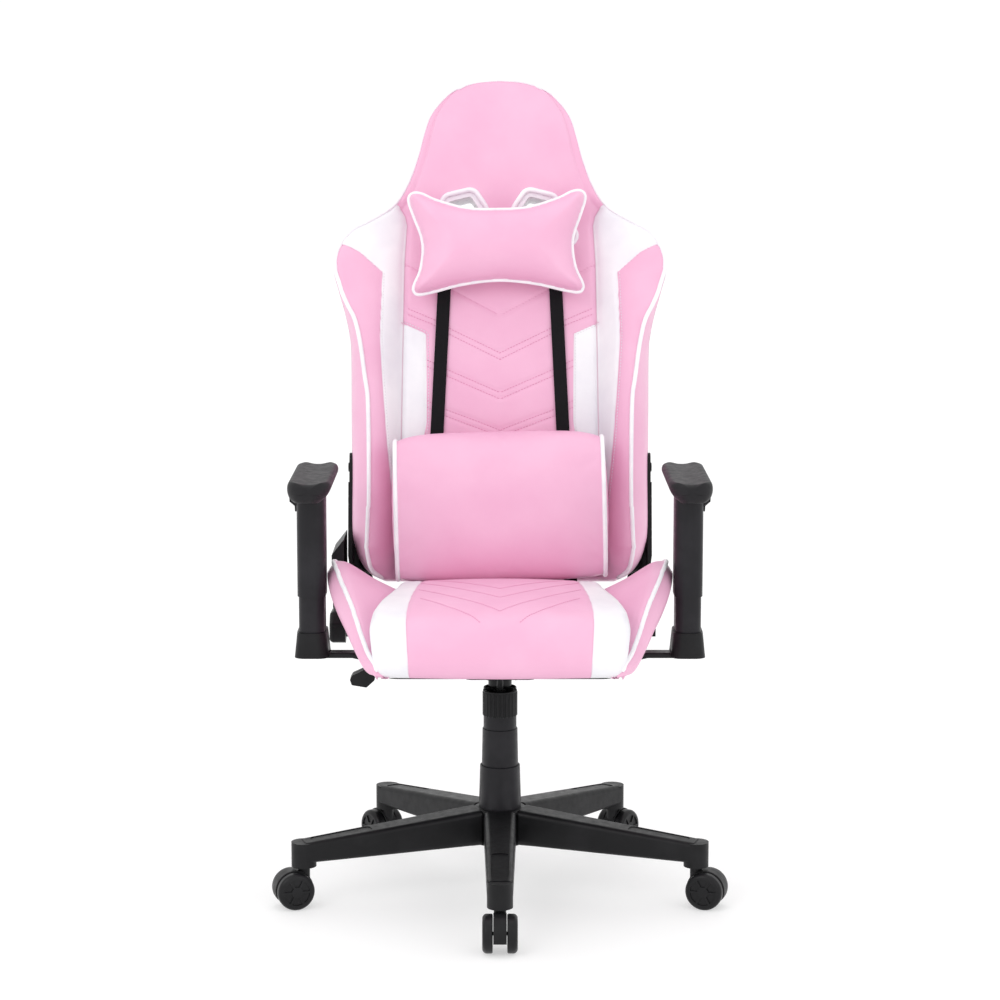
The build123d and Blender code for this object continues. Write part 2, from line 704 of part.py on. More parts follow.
def arm_pad():
    """Moulded armrest pad: dished top, keel-shaped underside down to the sleeve."""
    with BuildPart() as pad:
        with BuildSketch(Plane.XZ.offset(170)) as pad_section:
            with BuildLine():
                dish = ThreePointArc((264, PAD_TOP - 2), (296, PAD_TOP - 5), (327, PAD_TOP - 2))
                outer = Spline(dish @ 1, (331, PAD_TOP - 14), (321, PAD_LOW + 3), tangents=((0.8, -1), (-0.8, -1)))
                keel = Line(outer @ 1, (280, PAD_LOW + 3))
                Spline(keel @ 1, (263, PAD_TOP - 14), dish @ 0, tangents=((-0.8, 1), (0.2, 1)))
            make_face()
        extrude(amount=-260)
        with BuildSketch(Plane.XY.offset(PAD_LOW - 5)) as pad_plan:
            with Locations((296.5, -40)):
                RectangleRounded(70, 260, 33)
        extrude(amount=70, mode=Mode.INTERSECT)
        with BuildSketch(Plane.XY.offset(PAD_LOW)) as pad_neck:
            with Locations((ARM_X, ARM_Y)):
                RectangleRounded(SLEEVE_W, SLEEVE_D, 17)
        extrude(amount=12)
    return pad.part


def mirrored(piece):
    with BuildPart() as other:
        add(piece)
        mirror(about=Plane.YZ, mode=Mode.REPLACE)
    return other.part


# ---- recline hinges ----
PLATE_IN = 255.2
PLATE_OUT = 259.2
ARM_IN = 248.4
ARM_OUT = 254
PIN_R = 8
PIVOT = (RECLINE_Y, RECLINE_Z)
LEVER_PIVOT = (152, 430)

with BuildPart() as hinge_plate_left:
    with BuildSketch(up_x(PLATE_IN)) as hinge_plate_side:
        with BuildLine():
            Polyline((128, 394), (212, 394), (222, 452), (170, 470), (128, 440), close=True)
        make_face()
        with Locations(PIVOT):
            Circle(27)
        with Locations(PIVOT):
            Circle(PIN_R, mode=Mode.SUBTRACT)
        with Locations(LEVER_PIVOT):
            Circle(5 + RUN, mode=Mode.SUBTRACT)
    extrude(amount=PLATE_OUT - PLATE_IN)
    with BuildSketch(Plane.XY.offset(394)) as hinge_foot:
        with Locations(((140 + PLATE_OUT) / 2, 152)):
            Rectangle(PLATE_OUT - 140, 48)
    extrude(amount=4)
seat_hinge_plates = both_sides(hinge_plate_left.part)

with BuildPart() as hinge_pin_left:
    with BuildSketch(up_x(ARM_IN - 2.5)) as pin_round:
        with Locations(PIVOT):
            Circle(PIN_R)
    extrude(amount=PLATE_OUT - ARM_IN + 4)
    with BuildSketch(up_x(ARM_IN - 3.5)) as pin_clip:
        with Locations(PIVOT):
            Circle(PIN_R + 4)
    extrude(amount=3)
hinge_pins = both_sides(hinge_pin_left.part)

with BuildPart() as hinge_cap_left:
    with BuildSketch(up_x(PLATE_OUT)) as cap_round:
        with Locations(PIVOT):
            Circle(22)
    extrude(amount=7)
    fillet(hinge_cap_left.edges().group_by(Axis.X)[-1], 3)
    with BuildSketch(up_x(PLATE_OUT)) as cap_pocket:
        with Locations(PIVOT):
            Circle(19)
    extrude(amount=4, mode=Mode.SUBTRACT)

COVER_FRONT = 138
COVER_REAR = 246
with BuildPart() as hinge_cover_right:
    with BuildSketch(up_y(COVER_FRONT)) as cover_front_view:
        with BuildLine():
            Polyline((-259.5, 556), (-259.5, 396), (-275, 396), (-278, 430), (-280, 530), close=True)
        make_face()
    extrude(amount=-(COVER_REAR - COVER_FRONT))
    fillet(hinge_cover_right.edges().group_by(Axis.X)[0], 6)
    with BuildSketch(up_y(COVER_FRONT + 2.5)) as cover_inside:
        with BuildLine():
            Polyline((-259, 551), (-259, 398.5), (-273, 398.5), (-275.5, 430), (-277, 529), close=True)
        make_face()
    extrude(amount=-(COVER_REAR - COVER_FRONT - 5), mode=Mode.SUBTRACT)
    with BuildSketch(up_y(COVER_FRONT - 1)) as lever_window:
        with Locations((-265, 432)):
            Rectangle(12, 50)
    extrude(amount=-5, mode=Mode.SUBTRACT)

with BuildPart() as recline_lever:
    with BuildSketch(up_x(-266)) as lever_blade:
        with BuildLine():
            Polyline((154, 421), (154, 439), (108, 432), (108, 418), close=True)
        make_face()
        with Locations(LEVER_PIVOT):
            Circle(9)
    extrude(amount=4)
    with BuildSketch(up_x(-266)) as lever_stub:
        with Locations(LEVER_PIVOT):
            Circle(5)
    extrude(amount=10.5)
    with BuildSketch(up_x(-279)) as grip_side:
        with BuildLine():
            Polyline((42, 402), (42, 432), (60, 449), (124, 445), (124, 418), (66, 396), close=True)
        make_face()
        fillet(grip_side.vertices(), 7)
    extrude(amount=26)
    fillet(recline_lever.edges().group_by(Axis.X)[0], 6)

# ---- back: frame, hinge arms, foam, belt holes, pillows and webbing ----
BACK_REAR = -55
BACK_FACE = 10

with BuildSketch(back_plane()) as back_outline:
    with BuildLine():
        head = Spline(
            (0, 866), (80, 848), (122, 802), (144, 728), (182, 649), tangents=((1, 0), (0.8, -0.6))
        )
        shoulder = Spline(
            head @ 1, (248, 608), (280, 548), (259, 466), (249, 400), tangents=((0.85, -0.5), (0, -1))
        )
        flank = Line(shoulder @ 1, (247, 105))
        foot_corner = Spline(flank @ 1, (232, 47), (191, 15), tangents=((0, -1), (-1, -0.2)))
        Polyline(foot_corner @ 1, (0, 15), head @ 0)
    make_face()
    mirror(about=Plane.YZ)

HOLE_CORNERS = [(24, 640), (46, 673), (90, 662), (137, 583), (52, 588)]
HOLE_RIM = 8


def hole_outline(out, shrink):
    """Belt hole's outline on the plane that stands the given distance out of the back's plane."""
    with BuildSketch(back_plane(out)) as hole:
        with BuildLine():
            Polyline(*HOLE_CORNERS, close=True)
        make_face()
        fillet(hole.vertices(), 14)
        offset(amount=-shrink, mode=Mode.REPLACE)
        mirror(about=Plane.YZ)
    return hole.sketch


RIDGE_FOOT = 16
RIDGE_LENGTH = 575
with BuildPart() as back_ridges:
    with BuildSketch(Plane(origin=BACK_FOOT + BACK_UP * RIDGE_FOOT, x_dir=(1, 0, 0), z_dir=BACK_UP)):
        with BuildLine():
            Polyline((163, 0), (179, -12), (206, -56), (226, -56), (262, -6), (262, 0), close=True)
        make_face()
        mirror(about=Plane.YZ)
    extrude(amount=RIDGE_LENGTH)
    extrude(to_extrude=back_outline.sketch, amount=80, both=True, mode=Mode.INTERSECT)

with BuildPart() as back_cushion:
    extrude(to_extrude=back_outline.sketch, amount=BACK_FACE)
    extrude(to_extrude=back_outline.sketch, amount=BACK_REAR)
    add(back_ridges.part)
    extrude(to_extrude=hole_outline(-70, 0), amount=140, mode=Mode.SUBTRACT)

with BuildPart() as belt_hole_trims:
    extrude(to_extrude=hole_outline(BACK_REAR - 2, 0), amount=BACK_FACE - BACK_REAR + 5)
    extrude(to_extrude=hole_outline(BACK_REAR - 3, HOLE_RIM), amount=90, mode=Mode.SUBTRACT)

FRAME_DEPTH = -25
FRAME_R = 9
with BuildPart() as back_frame:
    with BuildLine(back_plane(FRAME_DEPTH)) as frame_path:
        right_half = [(0, 830), (84, 812), (114, 742), (128, 692), (168, 632), (236, 592), (244, 545)]
        right_half += [(230, 440), (230, 36)]
        left_half = [(-x, s) for x, s in reversed(right_half[1:])]
        FilletPolyline(*right_half, *left_half, radius=16, close=True)
    with BuildSketch(Plane(frame_path.line @ 0, z_dir=frame_path.line % 0)):
        Circle(FRAME_R)
        Circle(FRAME_R - 1.5, mode=Mode.SUBTRACT)
    sweep()

ARM_WIDTH = 34
ARM_REACH = 232
ARM_BOLT_S = [96, 152, 208]


def across(x, out=0):
    """Plane across X that leans with the back: sketch x points forward, sketch y runs down it."""
    return Plane(origin=BACK_FOOT + BACK_OUT * out + Vector(x, 0, 0), x_dir=BACK_OUT, z_dir=(1, 0, 0))


with BuildPart() as back_arm_left:
    with BuildSketch(across(ARM_IN, FRAME_DEPTH)) as arm_strip:
        with Locations((0, -(ARM_REACH - 20) / 2)):
            RectangleRounded(ARM_WIDTH, ARM_REACH + 20, 12)
        with Locations(*[(0, -s) for s in ARM_BOLT_S]):
            Circle(4, mode=Mode.SUBTRACT)
    extrude(amount=ARM_OUT - ARM_IN)
    with BuildSketch(across(ARM_IN, FRAME_DEPTH)) as arm_web:
        with Locations((-20.5, -99.5)):
            Rectangle(31, 171)
    extrude(amount=ARM_OUT - ARM_IN)
    with BuildSketch(back_plane(BACK_REAR - 6)) as arm_gusset:
        with BuildLine():
            Polyline((214, 14), (252, 14), (258.4, 60), (258.4, 185), (ARM_IN, 185), (ARM_IN, 110), (226, 60), close=True)
        make_face()
    extrude(amount=3)
    with BuildSketch(up_x(ARM_IN)) as arm_eye:
        with Locations(PIVOT):
            Circle(25)
    extrude(amount=ARM_OUT - ARM_IN)
    with BuildSketch(up_x(ARM_IN - 1)) as arm_eye_bore:
        with Locations(PIVOT):
            Circle(PIN_R + RUN)
    extrude(amount=10, mode=Mode.SUBTRACT)
back_arms = both_sides(back_arm_left.part)

with BuildPart() as back_bolts_left:
    with BuildSketch(across(232, FRAME_DEPTH)) as back_shanks:
        with Locations(*[(0, -s) for s in ARM_BOLT_S]):
            Circle(4)
    extrude(amount=ARM_OUT - 232)
    with BuildSketch(across(ARM_OUT, FRAME_DEPTH)) as back_heads:
        with Locations(*[(0, -s) for s in ARM_BOLT_S]):
            Circle(8)
    extrude(amount=2.4)
    fillet(back_bolts_left.edges().group_by(Axis.X)[-1], 1.6)
back_bolts = both_sides(back_bolts_left.part)

# Pillows: the head pillow is a bone shape, the lumbar pillow a fat roll.
HEAD_REAR = 15.4
HEAD_THICK = 90
with BuildPart() as head_pillow:
    with BuildSketch(back_plane(HEAD_REAR)) as pillow_outline:
        with BuildLine():
            pillow_top = Spline((0, 634), (142, 657), tangents=((1, 0), (1, 0.45)))
            pillow_side = Spline(pillow_top @ 1, (122, 583), (138, 488), tangents=((-0.2, -1), (0.3, -1)))
            Spline(pillow_side @ 1, (0, 512), tangents=((-1, 0.35), (-1, 0)))
            Line((0, 512), (0, 634))
        make_face()
        mirror(about=Plane.YZ)
    extrude(amount=HEAD_THICK)
    chamfer(head_pillow.faces().filter_by(back_plane()).edges(), 16)

LUMBAR_S = 139
LUMBAR_OUT = 72
LUMBAR_X = 177
with BuildPart() as lumbar_pillow:
    with BuildSketch(across(-LUMBAR_X, LUMBAR_OUT)) as roll:
        with Locations((0, -LUMBAR_S)):
            Ellipse(56, 123)
    extrude(amount=2 * LUMBAR_X)

STRAP_W = 22
STRAP_T = 1.6
STRAP_X = 104
STRAP_TOP = 598
STRAP_FOOT = 14
STRAP_SLANT = 2.8
STRAP_FRONT = BACK_FACE + 3.3
STRAP_BACK = BACK_REAR - 2.3
with BuildPart() as strap_left:
    with BuildSketch(across(STRAP_X - STRAP_W / 2)) as strap_loop:
        with Locations(((STRAP_FRONT + STRAP_BACK) / 2, -(STRAP_TOP + STRAP_FOOT) / 2)):
            depth = STRAP_FRONT - STRAP_BACK
            height = STRAP_TOP - STRAP_FOOT
            RectangleRounded(depth + 2 * STRAP_T, height + 2 * STRAP_T, 3)
            RectangleRounded(depth, height, 1.4, mode=Mode.SUBTRACT)
    extrude(amount=STRAP_W)
slant_axis = Axis(tuple(BACK_FOOT + BACK_UP * 300 + Vector(STRAP_X, 0, 0)), tuple(BACK_OUT))
lumbar_straps = both_sides(strap_left.part.rotate(slant_axis, STRAP_SLANT))

BAND_X = 62
BAND_BACK = STRAP_T + 0.2 - STRAP_BACK
with BuildPart() as head_pillow_band:
    with BuildSketch(Plane(origin=BACK_FOOT + BACK_UP * 613, x_dir=(1, 0, 0), z_dir=BACK_UP)) as band_loop:
        with BuildLine():
            Polyline(
                (-BAND_X, -HEAD_REAR), (-BAND_X, BAND_BACK), (BAND_X, BAND_BACK), (BAND_X, -HEAD_REAR),
            )
            offset(amount=STRAP_T, side=Side.RIGHT)
        make_face()
    extrude(amount=20)

# ---- write every piece ----
for name, piece in {
    "star_base": star_base.part,
    "caster_stems": caster_stems,
    "lift_outer_tube": lift_outer_tube.part,
    "lift_guide_bush": lift_guide_bush.part,
    "thrust_bearing": thrust_bearing.part,
    "piston_rod": piston_rod.part,
    "lift_cylinder": lift_cylinder.part,
    "valve_pin": valve_pin.part,
    "cover_lower": cover_lower,
    "cover_middle": cover_middle,
    "cover_upper": cover_upper,
    "mech_pan": mech_pan.part,
    "tilt_axle": tilt_axle.part,
    "tension_bolt": tension_bolt.part,
    "tension_knob": tension_knob.part,
    "tension_spring": tension_spring.part,
    "tilt_lock_bracket": tilt_lock_bracket.part,
    "lever_rod": lever_rod.part,
    "lever_paddle": lever_paddle.part,
    "mech_top_plate": mech_top_plate.part,
    "mech_bolts": mech_bolts.part,
    "seat_board": seat_board.part,
    "seat_cushion": seat_cushion.part,
    "seat_bolster_left": seat_bolster_left.part,
    "seat_bolster_right": seat_bolster_right.part,
    "armrest_brackets": armrest_brackets,
    "armrest_bolts": armrest_bolts,
    "armrest_tubes": armrest_tubes,
    "armrest_collars": armrest_collars,
    "seat_hinge_plates": seat_hinge_plates,
    "hinge_pins": hinge_pins,
    "hinge_cap_left": hinge_cap_left.part,
    "hinge_cover_right": hinge_cover_right.part,
    "recline_lever": recline_lever.part,
    "back_cushion": back_cushion.part,
    "belt_hole_trims": belt_hole_trims.part,
    "back_frame": back_frame.part,
    "back_arms": back_arms,
    "back_bolts": back_bolts,
    "head_pillow": head_pillow.part,
    "lumbar_pillow": lumbar_pillow.part,
    "lumbar_straps": lumbar_straps,
    "head_pillow_band": head_pillow_band.part,
}.items():
    save(piece, name)

for number, angle in enumerate(LEG_ANGLES, start=1):
    turn = Location((0, 0, 0), (0, 0, angle)) * Location((STEM_RADIUS, 0, 0))
    save(fork_blank.part.moved(turn), f"caster_{number}_fork")
    wheelset = Compound(children=[*wheelset_wheels, axle_blank.part])
    save(wheelset.moved(turn), f"caster_{number}_wheels")

for side, sign in SIDES.items():
    for name, piece in (("sleeve", arm_sleeve()), ("trigger", arm_trigger()), ("pad", arm_pad())):
        save(piece if sign > 0 else mirrored(piece), f"armrest_{name}_{side}")
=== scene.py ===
import json
import math

import bmesh
import bpy
import numpy as np
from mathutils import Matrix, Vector
from mathutils.bvhtree import BVHTree


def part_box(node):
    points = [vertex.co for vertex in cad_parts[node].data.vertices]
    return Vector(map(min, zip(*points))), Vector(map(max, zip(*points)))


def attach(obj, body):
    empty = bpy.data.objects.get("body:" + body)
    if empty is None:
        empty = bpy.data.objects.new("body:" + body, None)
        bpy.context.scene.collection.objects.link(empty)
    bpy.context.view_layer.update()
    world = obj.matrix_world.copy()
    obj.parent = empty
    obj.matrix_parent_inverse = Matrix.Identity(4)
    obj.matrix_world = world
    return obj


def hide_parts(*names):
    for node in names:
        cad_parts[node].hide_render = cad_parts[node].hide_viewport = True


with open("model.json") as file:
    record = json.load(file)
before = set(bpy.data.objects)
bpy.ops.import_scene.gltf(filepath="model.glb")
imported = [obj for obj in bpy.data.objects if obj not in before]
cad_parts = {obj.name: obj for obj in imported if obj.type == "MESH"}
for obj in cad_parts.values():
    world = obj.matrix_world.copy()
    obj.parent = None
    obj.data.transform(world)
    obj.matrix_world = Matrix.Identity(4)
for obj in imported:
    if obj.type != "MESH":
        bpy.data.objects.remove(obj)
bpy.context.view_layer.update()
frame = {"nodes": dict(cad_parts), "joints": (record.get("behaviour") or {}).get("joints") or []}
JOINTS = {joint["name"]: joint for joint in frame["joints"]}
MM = 0.001
SIDES = {"left": 1, "right": -1}

# ------------------------------------------------------------------ geometry helpers


def smooth(t):
    t = np.clip(t, 0.0, 1.0)
    return t * t * (3 - 2 * t)


def rounded(points, samples=12, closed=False):
    """Catmull-Rom curve through given points, as an array."""
    p = np.array(points, float)
    if closed:
        p = np.vstack([p[-1], p, p[0], p[1]])
    else:
        p = np.vstack([2 * p[0] - p[1], p, 2 * p[-1] - p[-2]])
    t = np.linspace(0, 1, samples, endpoint=False)[:, None]
    spans = []
    for a, b, c, d in zip(p[:-3], p[1:-2], p[2:-1], p[3:]):
        spans.append(
            0.5 * (2 * b + (c - a) * t + (2 * a - 5 * b + 4 * c - d) * t**2 + (3 * b - a - 3 * c + d) * t**3)
        )
    if not closed:
        spans.append(p[-2][None, :])
    return np.vstack(spans)


def even(points, step, closed=False):
    """Points resampled at an even distance along their line."""
    p = np.array(points, float)
    if closed:
        p = np.vstack([p, p[0]])
    length = np.concatenate([[0], np.cumsum(np.linalg.norm(np.diff(p, axis=0), axis=1))])
    count = max(3, int(round(length[-1] / step)) + 1)
    at = np.linspace(0, length[-1], count)
    out = np.stack([np.interp(at, length, p[:, k]) for k in range(p.shape[1])], axis=1)
    return out[:-1] if closed else out


def line_distance(points, line):
    """Distance from each 2-D point to a polyline."""
    best = np.full(len(points), 1e9)
    for a, b in zip(line[:-1], line[1:]):
        ab = b - a
        t = np.clip(((points - a) @ ab) / max(ab @ ab, 1e-9), 0, 1)
        best = np.minimum(best, np.linalg.norm(points - (a + t[:, None] * ab), axis=1))
    return best


def inside(points, ring):
    """Whether each 2-D point lies inside a closed ring."""
    found = np.zeros(len(points), bool)
    x, y = points[:, 0], points[:, 1]
    for (ax, ay), (bx, by) in zip(ring, np.roll(ring, -1, axis=0)):
        crosses = (ay > y) != (by > y)
        with np.errstate(divide="ignore", invalid="ignore"):
            found ^= crosses & (x < (bx - ax) * (y - ay) / (by - ay) + ax)
    return found


def signed_distance(points, ring):
    """Distance to a closed ring, positive inside it."""
    closed = np.vstack([ring, ring[0]])
    return np.where(inside(points, ring), 1, -1) * line_distance(points, closed)


def finish_piece(obj, body, material, replaces=()):
    """Gives a piece its material and the body that it rides on."""
    obj.data.materials.clear()
    obj.data.materials.append(material)
    if replaces:
        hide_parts(*replaces)
    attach(obj, body)
    return obj


def mesh_object(name, verts, faces):
    mesh = bpy.data.meshes.new(name)
    mesh.from_pydata([tuple(v) for v in verts], [], [tuple(f) for f in faces])
    mesh.validate()
    mesh.polygons.foreach_set("use_smooth", [True] * len(mesh.polygons))
    mesh.update()
    obj = bpy.data.objects.new(name, mesh)
    bpy.context.scene.collection.objects.link(obj)
    return obj


def attribute(obj, name, values):
    layer = obj.data.attributes.new(name, "FLOAT", "POINT")
    layer.data.foreach_set("value", np.asarray(values, np.float32))


def outward(obj):
    """Turns every face's normal outward."""
    work = bmesh.new()
    work.from_mesh(obj.data)
    bmesh.ops.recalc_face_normals(work, faces=work.faces)
    work.to_mesh(obj.data)
    work.free()


def modify(obj, kind, **settings):
    """Adds a modifier and applies it at once."""
    modifier = obj.modifiers.new(kind.lower(), kind)
    for key, value in settings.items():
        setattr(modifier, key, value)
    bpy.context.view_layer.update()
    evaluated = obj.evaluated_get(bpy.context.evaluated_depsgraph_get())
    mesh = bpy.data.meshes.new_from_object(evaluated, preserve_all_data_layers=True,
                                           depsgraph=bpy.context.evaluated_depsgraph_get())
    old = obj.data
    obj.modifiers.clear()
    obj.data = mesh
    bpy.data.meshes.remove(old)
    return obj


def surface_of(obj):
    """Ray-cast tree of an object's mesh."""
    return BVHTree.FromObject(obj, bpy.context.evaluated_depsgraph_get())


# how much narrower an open tube's last ring is
TUBE_END = 0.55


def tube(name, points, radius, closed=False, sides=12):
    """Round piping along points in metres, ends rounded off."""
    pts = [Vector(p) for p in points]
    count = len(pts)
    verts, faces = [], []
    up = None
    for i, p in enumerate(pts):
        before = pts[(i - 1) % count] if (closed or i) else pts[0]
        after = pts[(i + 1) % count] if (closed or i < count - 1) else pts[-1]
        along = (after - before).normalized()
        if up is None:
            up = along.orthogonal().normalized()
        up = (up - along * up.dot(along)).normalized()
        side = along.cross(up)
        end = 1.0 if closed or 0 < i < count - 1 else TUBE_END
        for k in range(sides):
            a = 2 * math.pi * k / sides
            verts.append(p + (up * math.cos(a) + side * math.sin(a)) * radius * end)
    rings = count if closed else count - 1
    for i in range(rings):
        j = (i + 1) % count
        for k in range(sides):
            m = (k + 1) % sides
            faces.append((i * sides + k, i * sides + m, j * sides + m, j * sides + k))
    if not closed:
        faces.append(tuple(range(sides))[::-1])
        faces.append(tuple((count - 1) * sides + k for k in range(sides)))
    obj = mesh_object(name, verts, faces)
    outward(obj)
    return obj


# rings along one stitch: (place from -1 to 1, share of the thread's radius)
STITCH_RINGS = [(-1, 0.35), (-0.55, 1), (0.55, 1), (1, 0.35)]
STITCH_SIDES = 5


def stitches(name, runs, pitch=5.2 * MM, length=3.4 * MM, radius=0.55 * MM):
    """Short thread stitches laid along runs of (point, normal) pairs."""
    verts, faces = [], []
    for run in runs:
        pts = [Vector(p) for p, _ in run]
        normals = [Vector(n) for _, n in run]
        travelled, due = 0.0, pitch / 2
        for i in range(len(pts) - 1):
            span = (pts[i + 1] - pts[i]).length
            while span > 0 and travelled + span >= due:
                t = (due - travelled) / span
                centre = pts[i].lerp(pts[i + 1], t)
                along = (pts[i + 1] - pts[i]).normalized()
                normal = normals[i].lerp(normals[i + 1], t).normalized()
                across = along.cross(normal).normalized()
                base = len(verts)
                for reach, size in STITCH_RINGS:
                    lift = 0.5 * (abs(reach) < 1) - 0.1
                    middle = centre + along * reach * length / 2 + normal * radius * lift
                    for a in range(STITCH_SIDES):
                        turn = 2 * math.pi * a / STITCH_SIDES
                        arm = across * math.cos(turn) + normal * math.sin(turn)
                        verts.append(middle + arm * radius * size)
                for ring in range(len(STITCH_RINGS) - 1):
                    low = base + ring * STITCH_SIDES
                    high = low + STITCH_SIDES
                    for a in range(STITCH_SIDES):
                        b = (a + 1) % STITCH_SIDES
                        faces.append((low + a, low + b, high + b, high + a))
                faces.append(tuple(range(base, base + STITCH_SIDES))[::-1])
                faces.append(tuple(range(high, high + STITCH_SIDES)))
                due += pitch
            travelled += span
    obj = mesh_object(name, verts, faces)
    outward(obj)
    return obj


# ------------------------------------------------------------------ materials


def srgb(r, g, b):
    return [(c / 255 / 12.92) if c <= 10 else ((c / 255 + 0.055) / 1.055) ** 2.4 for c in (r, g, b)] + [1.0]


class Shader:
    """Short way to wire a principled material."""

    def __init__(self, name, **sockets):
        self.material = bpy.data.materials.new(name)
        self.material.use_nodes = True
        self.tree = self.material.node_tree
        self.main = self.tree.nodes["Principled BSDF"]
        for key, value in sockets.items():
            self.main.inputs[key.replace("_", " ")].default_value = value
        self.place = self.node("ShaderNodeTexCoord").outputs["Object"]

    def node(self, kind, inputs=None, **settings):
        made = self.tree.nodes.new(kind)
        for key, value in settings.items():
            setattr(made, key, value)
        for key, value in (inputs or {}).items():
            socket = made.inputs[key]
            if isinstance(value, bpy.types.NodeSocket):
                self.tree.links.new(value, socket)
            else:
                socket.default_value = value
        return made

    def link(self, value, socket):
        self.tree.links.new(value, self.main.inputs[socket])

    def noise(self, scale, detail=3.0, roughness=0.55):
        made = self.node("ShaderNodeTexNoise", {"Vector": self.place, "Scale": scale, "Detail": detail,
                                                "Roughness": roughness})
        return made.outputs["Fac"]

    def cells(self, scale, feature="F1"):
        made = self.node("ShaderNodeTexVoronoi", {"Vector": self.place, "Scale": scale}, feature=feature)
        return made.outputs["Distance"]

    def remap(self, value, low, high, to_low, to_high):
        made = self.node("ShaderNodeMapRange", {"Value": value, "From Min": low, "From Max": high,
                                                "To Min": to_low, "To Max": to_high})
        return made.outputs["Result"]

    def mix(self, factor, a, b):
        made = self.node("ShaderNodeMix", {"Factor": factor}, data_type="RGBA")
        for socket, value in ((made.inputs[6], a), (made.inputs[7], b)):
            if isinstance(value, bpy.types.NodeSocket):
                self.tree.links.new(value, socket)
            else:
                socket.default_value = value
        return made.outputs[2]

    def math(self, operation, a, b):
        made = self.node("ShaderNodeMath", operation=operation)
        for socket, value in ((made.inputs[0], a), (made.inputs[1], b)):
            if isinstance(value, bpy.types.NodeSocket):
                self.tree.links.new(value, socket)
            else:
                socket.default_value = value
        return made.outputs[0]

    def bump(self, height, strength, distance, after=None):
        inputs = {"Height": height, "Strength": strength, "Distance": distance}
        if after is not None:
            inputs["Normal"] = after
        return self.node("ShaderNodeBump", inputs).outputs["Normal"]


PINK = srgb(238, 183, 211)
PINK_DEEP = srgb(234, 175, 205)
WHITE = srgb(244, 243, 246)
WHITE_SHADE = srgb(232, 230, 236)
# painted shade: the darker pink laid along the seam grooves
SEAM_GROOVE_SHADE = srgb(205, 118, 162)


def leather(name, masked):
    """Coated fabric with fine pebble grain. With masked, the mesh's white attribute picks the panel colour, and
    a darker pink is painted along the seams as the shade in their grooves.
    """
    s = Shader(name, Roughness=0.44, Specular_IOR_Level=0.42, Coat_Weight=0.06, Coat_Roughness=0.3)
    patch = s.remap(s.noise(9, 4), 0.35, 0.65, 0, 1)
    colour = s.mix(patch, PINK, PINK_DEEP)
    if masked:
        white = s.node("ShaderNodeAttribute", attribute_name="white").outputs["Fac"]
        mask = s.remap(white, -0.0004, 0.0004, 0, 1)
        colour = s.mix(mask, colour, s.mix(patch, WHITE, WHITE_SHADE))
        # painted shade: darker pink mixed in near the seam lines, where their grooves fall into shade
        seam = s.node("ShaderNodeAttribute", attribute_name="seam").outputs["Fac"]
        groove_shade = s.remap(seam, 0.0002, 0.0018, 0.5, 0)
        colour = s.mix(groove_shade, colour, SEAM_GROOVE_SHADE)
    s.link(colour, "Base Color")
    pebble = s.cells(820, "SMOOTH_F1")
    crease = s.noise(1500, 2)
    grain = s.math("ADD", s.math("MULTIPLY", pebble, 0.8), s.math("MULTIPLY", crease, 0.35))
    soft = s.bump(s.noise(26, 3), 0.10, 0.004)
    s.link(s.bump(grain, 0.16, 0.0005, soft), "Normal")
    s.link(s.remap(s.noise(60, 4), 0.3, 0.7, 0.38, 0.5), "Roughness")
    return s.material


def piping_material():
    s = Shader("white_piping", Roughness=0.38, Specular_IOR_Level=0.45)
    patch = s.remap(s.noise(40, 3), 0.3, 0.7, 0, 1)
    s.link(s.mix(patch, srgb(250, 249, 251), srgb(238, 236, 241)), "Base Color")
    s.link(s.bump(s.cells(900), 0.12, 0.0004), "Normal")
    return s.material


def thread_material(name, colour):
    s = Shader(name, Roughness=0.7, Sheen_Weight=0.2)
    s.link(s.mix(s.noise(700, 2), colour, [c * 0.85 for c in colour[:3]] + [1]), "Base Color")
    s.link(s.bump(s.noise(2500, 2), 0.4, 0.0003), "Normal")
    return s.material


def moulded(name, colour, rough, grain_scale, grain):
    """Moulded plastic: spark-eroded texture, faint wear where the noise is high."""
    s = Shader(name, Specular_IOR_Level=0.24)
    worn = [min(1, c * 1.5 + 0.004) for c in colour[:3]] + [1]
    s.link(s.mix(s.remap(s.noise(14, 5), 0.45, 0.75, 0, 1), colour, worn), "Base Color")
    s.link(s.remap(s.noise(90, 4), 0.3, 0.7, rough - 0.06, rough + 0.08), "Roughness")
    s.link(s.bump(s.noise(grain_scale, 2), grain, 0.0004), "Normal")
    return s.material


def painted_steel(name, colour, rough):
    s = Shader(name, Metallic=0.2, Specular_IOR_Level=0.3)
    worn = [c * 1.8 for c in colour[:3]] + [1]
    s.link(s.mix(s.remap(s.noise(30, 5), 0.5, 0.72, 0, 1), colour, worn), "Base Color")
    s.link(s.remap(s.noise(200, 3), 0.3, 0.7, rough - 0.08, rough + 0.1), "Roughness")
    s.link(s.bump(s.noise(500, 3), 0.12, 0.0006), "Normal")
    return s.material


def bright_steel():
    s = Shader("bright_steel", Metallic=1.0)
    s.link(s.mix(s.noise(60, 4), [0.42, 0.43, 0.45, 1], [0.6, 0.61, 0.63, 1]), "Base Color")
    s.link(s.remap(s.noise(400, 3), 0.3, 0.7, 0.22, 0.4), "Roughness")
    return s.material


def webbing_material():
    """Flat woven strap: ribs across the weave."""
    s = Shader("black_webbing", Roughness=0.82, Sheen_Weight=0.06, Specular_IOR_Level=0.15)
    wave = s.node("ShaderNodeTexWave", {"Vector": s.place, "Scale": 260.0, "Distortion": 0.6, "Detail": 1.0},
                  bands_direction="Z").outputs["Fac"]
    cross = s.node("ShaderNodeTexWave", {"Vector": s.place, "Scale": 330.0, "Distortion": 0.4, "Detail": 1.0},
                   bands_direction="X").outputs["Fac"]
    weave = s.math("MULTIPLY", wave, cross)
    s.link(s.mix(weave, srgb(12, 12, 14), srgb(38, 37, 41)), "Base Color")
    s.link(s.bump(weave, 0.5, 0.0006), "Normal")
    return s.material


